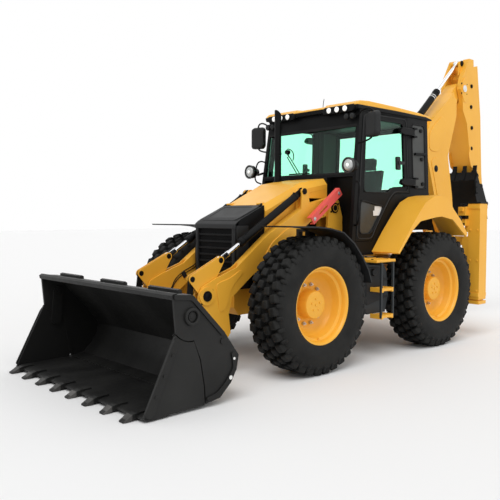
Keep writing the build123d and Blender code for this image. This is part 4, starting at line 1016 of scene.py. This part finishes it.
# ---------------------------------------------------------------- chassis, steps and tanks
HOUSING_X = 1.085           # middle of a stabiliser's housing
TREADS = (
    # (z, inner x, outer x, front y, rear y, rows of teeth across)
    (1.122, 0.6, 1.09, -1.275, -0.94, 5), (0.5, 0.96, 1.11, -1.19, -1.02, 2),
    (0.8, 0.96, 1.11, -1.19, -1.02, 2))


def tread_teeth(bm, sign):
    for z, x0, x1, y0, y1, rows in TREADS:
        for i in range(rows):
            for j in range(4):
                x = x0 + (x1 - x0) * (i + 0.5) / rows
                y = y0 + (y1 - y0) * (j + 0.5) / 4
                stud_into(bm, (sign * x, y, z - 0.001), 0.006, 0.019, 16, 0.014, axis="z")


def step_frames(bm, sign):
    for z in (0.485, 0.785):
        for y in (-1.197, -1.013):
            prism_into(bm, [(y + a * 0.014, z - 0.003 + b * 0.025) for a, b in CORNERS],
                       sign * 0.955, sign * 1.122)


def tank_fittings(bm, sign):
    prism_into(bm, rounded([(-1.285, 0.6), (-1.285, 1.03), (-1.03, 1.03), (-0.96, 0.93), (-0.945, 0.66)],
                           0.04), sign * 0.948, sign * 0.958)
    stud_into(bm, (sign * 0.955, -1.16, 0.97), sign * 0.03, 0.04, 24)
    for z in (0.66, 0.86):
        prism_into(bm, [(-1.316, z), (-1.316, z + 0.035), (-0.88, z + 0.035), (-0.88, z)],
                   sign * 0.93, sign * 0.956)


def deck_bolts(bm, sign):
    for x, y in ((0.7, -0.96), (0.86, -0.96), (1.02, -0.96), (0.7, -1.262), (1.02, -1.262)):
        stud_into(bm, (sign * x, y, 1.121), 0.01, 0.013, 6, axis="z")
    for y, z in ((-0.905, 1.235), (-0.86, 1.285)):
        stud_into(bm, (sign * 1.178, y, z), sign * 0.01, 0.012, 6)


def tail_lamp_case(bm, sign):
    plate_into(bm, rounded([(sign * 1.005 + a * 0.145, 1.55 + b * 0.05) for a, b in CORNERS], 0.02),
               0.355, 0.412)


def housing_fittings(bm, sign):
    for z in (0.62, 1.02, 1.42):
        for x in (1.035, 1.135):
            stud_into(bm, (sign * x, 0.838, z), -0.016, 0.014, 6, axis="y")
            stud_into(bm, (sign * x, 1.018, z), 0.014, 0.014, 6, axis="y")
    for z in (0.54, 1.7):
        for faces in ((1.016, 1.03), (0.82, 0.836)):
            plate_into(
                bm, [(sign * HOUSING_X + a * 0.085, z + 0.025 + b * 0.025) for a, b in CORNERS], *faces)
    plate_into(bm, [(sign * x, z) for x, z in ((1.002, 0.56), (0.98, 0.7), (0.905, 1.27), (0.925, 1.33),
                                               (1.002, 1.33))], 0.838, 0.852)
    block_into(bm, (sign * 0.945, 0.8, 1.6), (0.11, 0.07, 0.25))
    block_into(bm, (sign * 0.94, 0.79, 1.69), (0.06, 0.09, 0.05))
    block_into(bm, (sign * 0.985, 0.845, 1.56), (0.06, 0.03, 0.34))


def valve_fittings(bm, sign):
    block_into(bm, (sign * 0.945, 0.795, 1.588), (0.125, 0.085, 0.045))
    for x in (0.915, 0.945, 0.975):
        stud_into(bm, (sign * x, 0.8, 1.718), 0.055, 0.011, 12, axis="z")
    for x in (0.92, 0.95, 0.98):
        stud_into(bm, (sign * x, 0.772, 1.5), -0.022, 0.012, 12, axis="y")


def housing_cap(bm, sign):
    deck_into(bm, rounded([(sign * HOUSING_X + a * 0.09, 0.926 + b * 0.1) for a, b in CORNERS], 0.02),
              1.766, 1.785)


pair(tread_teeth, YELLOW, bevel=0.0015)
pair(step_frames, YELLOW, bevel=0.003)
pair(tank_fittings, CHARCOAL, bevel=0.006)
pair(deck_bolts, BLACK, bevel=0.001)
pair(tail_lamp_case, BLACK, bevel=0.006)
pair(housing_fittings, YELLOW, bevel=0.003)
pair(valve_fittings, BLACK, bevel=0.002)
pair(housing_cap, BLACK, bevel=0.005)
for side, sign in SIDES:
    for name, x, made in (("stop", 0.925, RED_LENS), ("turn", 1.075, AMBER)):
        piece(f"{side}_{name}_lens", lambda bm: dome_into(
            bm, at(sign * x, 0.412, 1.55), (0, 1, 0), 0.042, 0.014), made)

# ---------------------------------------------------------------- backhoe
BOOM_HALF = 0.15            # half widths
STICK_HALF = 0.172
POST_HALF = 0.2
HOE_BUCKET_HALF = 0.305
BOOM_FOOT = (1.825, 0.76)   # pins, as (y, z)
BOOM_HEAD = (2.128, 3.554)
BOOM_RAM_LOW = (1.6, 1.1)
BOOM_RAM_TOP = (1.4, 2.3)
STICK_RAM_LOW = (1.13, 3.02)
STICK_RAM_TOP = (2.19, 3.96)
HOE_RAM_TOP = (2.53, 3.6)
GUIDE_EYE = (2.85, 1.8)
GUIDE_PIN = (2.69, 2.08)


def boom_pins(bm):
    both_pins(bm, BOOM_HALF, BOOM_RAM_TOP, 0.05)
    both_pins(bm, 0.076, STICK_RAM_LOW, 0.034)


def boom_plates(bm):
    pads_into(bm, BOOM_HALF, 0.008, (
        ([(1.5, 1.76), (1.27, 2.42), (1.42, 2.48), (1.56, 2.38), (1.64, 1.98), (1.64, 1.74)], 0.08),
        ([(1.22, 2.56), (1.215, 2.78), (1.3, 2.9), (1.56, 3.1), (1.7, 2.98), (1.56, 2.64),
          (1.44, 2.54)], 0.08),
        ([(1.8, 0.84), (1.83, 1.12), (1.87, 1.12), (1.88, 0.82), (1.84, 0.8)], 0.03)))


def stick_pins(bm):
    """Ram pin, bolts round the boom's head pin, and the wear pad covers down the stick."""
    both_pins(bm, 0.09, STICK_RAM_TOP, 0.044)
    circle = [math.radians(45 + 90 * k) for k in range(4)]
    both_bolts(bm, STICK_HALF, [(BOOM_HEAD[0] + 0.105 * math.cos(a), BOOM_HEAD[1] + 0.105 * math.sin(a))
                                for a in circle], 0.013)
    covers = ((2.345, 3.62), (2.345, 3.3), (2.375, 2.98), (2.375, 2.66))
    for _, sign in SIDES:
        for y, z in covers:
            stud_into(bm, (sign * 0.17, y, z), sign * 0.014, 0.03, 24)
    both_bolts(bm, 0.184, covers, 0.014)


def stick_plates(bm):
    pads_into(bm, STICK_HALF, 0.009, (
        ([(2.06, 3.46), (2.06, 3.64), (2.16, 3.76), (2.27, 3.62), (2.26, 3.42), (2.15, 3.33)], 0.06),
        ([(2.3, 2.56), (2.36, 2.38), (2.445, 2.34), (2.44, 2.64), (2.33, 2.7)], 0.03)))


def swing_pins(bm):
    both_pins(bm, POST_HALF, BOOM_FOOT, 0.062, 0.012)
    both_pins(bm, POST_HALF, BOOM_RAM_LOW, 0.048)
    both_bolts(bm, POST_HALF, ((1.52, 1.06), (1.52, 0.7), (1.72, 0.8), (1.86, 0.82)), 0.014)


piece("boom_pins", boom_pins, BLACK, "boom", bevel=0.002)
piece("boom_plates", boom_plates, YELLOW, "boom", bevel=0.004)
piece("stick_pins", stick_pins, BLACK, "outer_stick", bevel=0.002)
piece("stick_plates", stick_plates, YELLOW, "outer_stick", bevel=0.004)
piece("stick_pin_caps", lambda bm: both_pins(bm, 0.186, BOOM_HEAD, 0.052, 0.008), WHITE, "outer_stick",
      bevel=0.002)
piece("swing_pins", swing_pins, BLACK, "swing_post", bevel=0.002)
piece("hoe_linkage_pins", lambda bm: both_pins(bm, 0.188, GUIDE_PIN, 0.034, 0.006), BLACK, "inner_stick",
      bevel=0.002)
for name, foot, head, radius, length in (
        ("boom", BOOM_RAM_LOW, BOOM_RAM_TOP, 0.052, 1.09),
        ("stick", STICK_RAM_LOW, STICK_RAM_TOP, 0.05, 0.69),
        ("hoe_bucket", HOE_RAM_TOP, GUIDE_EYE, 0.042, 1.18)):
    piece(f"{name}_collars", lambda bm: collars_into(bm, 0.0, foot, head, radius, (
        (length - 0.062, 0.054, 0.0045), (length - 0.082, 0.012, 0.002), (0.1, 0.022, 0.003))),
        BLACK, f"{name}_barrel", bevel=0.002)
piece("stick_barrel_bands", lambda bm: collars_into(bm, 0.0, STICK_RAM_LOW, STICK_RAM_TOP, 0.05, (
    (0.5, 0.012, 0.0015), (0.54, 0.012, 0.0015))), WHITE, "stick_barrel")


def carriage_fittings(bm):
    for x in (0.19, -0.19):
        for z in (0.62, 0.9, 1.18):
            stud_into(bm, (x, 1.11, z), 0.018, 0.02, 6, axis="y")
    for z in (0.585, 1.235):
        stud_into(bm, (0, 1.39, z), 0.01, 0.07, 32, axis="z")


piece("carriage_fittings", carriage_fittings, BLACK, "hoe_carriage", bevel=0.002)


def hoe_bucket_plates(bm):
    pads_into(bm, HOE_BUCKET_HALF, 0.01, [
        ([(2.34, 2.27), (2.262, 2.15), (2.3, 1.94), (2.335, 1.95), (2.3, 2.14), (2.368, 2.225)], 0.015)])
    both_bolts(bm, HOE_BUCKET_HALF + 0.01, ((2.318, 2.05), (2.305, 2.13), (2.335, 1.96)), 0.012)
    for x in (-0.255, -0.085, 0.085, 0.255):
        prism_into(bm, rounded([(2.262, 2.14), (2.24, 2.16), (2.29, 2.24), (2.32, 2.31), (2.345, 2.3),
                                (2.35, 2.285), (2.33, 2.235)], 0.008), x - 0.04, x + 0.04)


piece("hoe_bucket_plates", hoe_bucket_plates, BLACK, "hoe_bucket", bevel=0.003)

# ---------------------------------------------------------------- wheels
LUG_ROWS = [
    # (x of the lug's middle, half width, half length along the tread, turn share, tilt in degrees)
    (0.052, 0.041, 0.046, 0.0, 8),
    (0.146, 0.043, 0.048, 0.5, 14),
]
LUGS_ROUND = 34
CARCASS_R = TYRE_R - 0.05
SIDEWALL = [
    # (x, radius) of the outer half of the tyre, from the bead to the middle of the tread
    (0.158, 0.389), (0.185, 0.398), (0.203, 0.43), (0.216, 0.485), (0.219, 0.545), (0.213, 0.6),
    (0.198, 0.636), (0.17, 0.65), (0.085, CARCASS_R), (0.0, CARCASS_R + 0.002)]


def rounded_lug_into(bm, place, size, squeeze=0.86):
    """Adds a soft-edged block of half widths and a height; its top is smaller than its foot by squeeze."""
    verts = bmesh.ops.create_cube(bm, size=1.0)["verts"]
    for v in verts:
        share = 2 * (squeeze if v.co.z > 0 else 1.0)
        v.co = Vector((v.co.x * size[0] * share, v.co.y * size[1] * share, v.co.z * size[2]))
    edges = list({edge for v in verts for edge in v.link_edges if max(w.co.z for w in edge.verts) > 0})
    done = bmesh.ops.bevel(
        bm, geom=edges, offset=0.016, segments=3, profile=0.6, affect="EDGES", clamp_overlap=True)
    for v in {v for face in done["faces"] for v in face.verts} | {v for v in verts if v.is_valid}:
        v.co = place @ v.co


def lugs_into(bm, phase, place, tilt, lean, size):
    """Adds a ring of lugs at (x, radius) on one side of the tyre, and its mirror on the other."""
    x, radius = place
    for way in (1, -1):
        for i in range(LUGS_ROUND):
            turn = 2 * math.pi * (i + phase + (0.5 if way < 0 else 0.0)) / LUGS_ROUND
            seat = (Matrix.Rotation(turn, 4, "X") @ Matrix.Translation((way * x, 0, radius))
                    @ Matrix.Rotation(way * tilt, 4, "Z") @ Matrix.Rotation(way * lean, 4, "Y"))
            rounded_lug_into(bm, seat, size)


def wheel_mesh(name, bm, made, sharp=None):
    """Mesh that all four wheels share, smooth below an angle if one is given."""
    mesh = mesh_from(name, bm)
    mesh.materials.append(made)
    if sharp:
        for face in mesh.polygons:
            face.use_smooth = True
        mesh.set_sharp_from_angle(angle=math.radians(sharp))
    return mesh


def tyre_mesh():
    bm = bmesh.new()
    revolve_into(bm, [(-x, r) for x, r in SIDEWALL] + SIDEWALL[-2::-1], 136, Matrix.Identity(4))
    for x, half_x, half_y, phase, tilt in LUG_ROWS:
        outside = max(0.0, x - 0.1)
        crown = TYRE_R - 0.031 - 0.25 * outside ** 1.5
        lugs_into(bm, phase, (x, crown), math.radians(tilt), 0.35 * outside, (half_x, half_y, 0.06))
    lugs_into(bm, 0.02, (0.192, 0.634), 0.0, 1.12, (0.04, 0.024, 0.034))
    return wheel_mesh("tyre", bm, TYRE, 50)


RIM_PROFILE = [
    # (x outward from the tyre's middle, radius): flange, two walls, bowl, disc, hub, and the way back
    (0.15, 0.386), (0.166, 0.39), (0.171, 0.404), (0.177, 0.407), (0.182, 0.401), (0.18, 0.384),
    (0.168, 0.372), (0.15, 0.366), (0.118, 0.362), (0.108, 0.35), (0.104, 0.338), (0.096, 0.334),
    (0.03, 0.326),
    (0.014, 0.316), (-0.016, 0.292), (-0.034, 0.272), (-0.046, 0.25), (-0.05, 0.235),
    (-0.05, 0.16), (-0.04, 0.15), (0.062, 0.146), (0.076, 0.138), (0.082, 0.12), (0.084, 0.06),
    (0.084, 0.0001),
    (-0.078, 0.0001), (-0.078, 0.14), (-0.075, 0.262), (-0.15, 0.345), (-0.16, 0.384)]
NUTS = 12
NUT_CIRCLE = 0.205
HUB_BOLTS = 5
HUB_CIRCLE = 0.062


def rim_mesh():
    bm = bmesh.new()
    revolve_into(bm, RIM_PROFILE, 96, Matrix.Identity(4))
    return wheel_mesh("rim", bm, YELLOW, 32)


def nut_mesh():
    """Wheel nuts on their studs, in the rim's own frame."""
    bm = bmesh.new()
    for i in range(NUTS):
        a = 2 * math.pi * (i + 0.5) / NUTS
        y, z = NUT_CIRCLE * math.sin(a), NUT_CIRCLE * math.cos(a)
        rod_into(bm, (-0.052, y, z), (-0.026, y, z), 0.019, 6)
        rod_into(bm, (-0.052, y, z), (-0.008, y, z), 0.0095, 10)
    return wheel_mesh("wheel_nuts", bm, STEEL)


def hub_mesh():
    """Bolt heads and plug on the hub's face, and the tyre's valve, in the rim's own frame."""
    bm = bmesh.new()
    for i in range(HUB_BOLTS):
        a = 2 * math.pi * i / HUB_BOLTS
        y, z = HUB_CIRCLE * math.sin(a), HUB_CIRCLE * math.cos(a)
        rod_into(bm, (0.083, y, z), (0.092, y, z), 0.011, 12)
    rod_into(bm, (0.083, 0, 0), (0.09, 0, 0), 0.016, 6)
    rod_into(bm, (0.1, 0.0, -0.346), (0.128, 0.0, -0.336), 0.007, 10)
    return wheel_mesh("hub_bolts", bm, YELLOW)


WHEEL_PIECES = [
    # (name, mesh, the CAD node that it takes the place of)
    ("tread", tyre_mesh(), "tyre"), ("wheel_disc", rim_mesh(), "rim"), ("wheel_nuts", nut_mesh(), None),
    ("hub_bolts", hub_mesh(), None)]
for end in ("front", "rear"):
    for side, sign in SIDES:
        wheel = f"{end}_{side}"
        facing = Matrix.Rotation(0.0 if sign > 0 else math.pi, 4, "Z")
        for kind, mesh, node in WHEEL_PIECES:
            obj = new_object(f"{wheel}_{kind}", mesh)
            obj.matrix_world = Matrix.Translation(middle(f"{wheel}_tyre")) @ facing
            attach(obj, f"{wheel}_wheel")
            if node:
                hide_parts(f"{wheel}_{node}")

# ---------------------------------------------------------------- floor, light and camera
CAMERA = (5.4263, -7.1222, 1.619)
CAMERA_TURN = 47.61
CAMERA_DIP = 3.09
LENS_MM = 46.83


def build_floor():
    bm = bmesh.new()
    bmesh.ops.create_grid(bm, x_segments=1, y_segments=1, size=60)
    floor = new_object("floor", mesh_from("floor", bm))
    floor.data.materials.append(material("floor", (0.86, 0.86, 0.86), 0.9, shine=0.1))


def build_world():
    """White where the camera, glass and mirrors look, and a weaker white as the light on the machine."""
    world = bpy.data.worlds.new("studio")
    bpy.context.scene.world = world
    world.use_nodes = True
    soft = world.node_tree.nodes["Background"]
    set_sockets(soft, {"Color": (1, 1, 1, 1), "Strength": 0.55})
    white = add_node(world, "Background", {"Color": (1, 1, 1, 1), "Strength": 1.0})
    rays = add_node(world, "LightPath").outputs
    seen = rays["Is Camera Ray"]
    for kind in ("Is Transmission Ray", "Is Glossy Ray"):
        either = add_node(world, "Math", sources={0: seen, 1: rays[kind]})
        either.operation = "MAXIMUM"
        seen = either.outputs[0]
    mix = add_node(world, "MixShader", sources={"Fac": seen, 1: soft.outputs[0], 2: white.outputs[0]})
    world.node_tree.links.new(mix.outputs[0], world.node_tree.nodes["World Output"].inputs["Surface"])


def sun(name, towards, strength, spread):
    """Soft lamp far away, in a direction from the machine."""
    data = bpy.data.lights.new(name, "SUN")
    data.energy = strength
    data.angle = math.radians(spread)
    obj = new_object(name, data)
    obj.location = towards
    obj.rotation_mode = "QUATERNION"
    obj.rotation_quaternion = Vector(towards).to_track_quat("Z", "Y")


def build_camera():
    data = bpy.data.cameras.new("camera")
    data.sensor_width = 36.0
    data.lens = LENS_MM
    data.clip_end = 200
    camera = new_object("camera", data)
    camera.location = at(*CAMERA)
    camera.rotation_euler = (math.radians(90 - CAMERA_DIP), 0, math.radians(CAMERA_TURN))
    bpy.context.scene.camera = camera


build_floor()
build_world()
sun("key", (2.2, -3.4, 5.6), 1.55, 40)
sun("side", (6.0, 1.5, 3.0), 0.55, 60)
sun("back", (-3.0, 5.0, 3.5), 0.45, 60)
build_camera()
bpy.context.scene.view_settings.view_transform = "Standard"
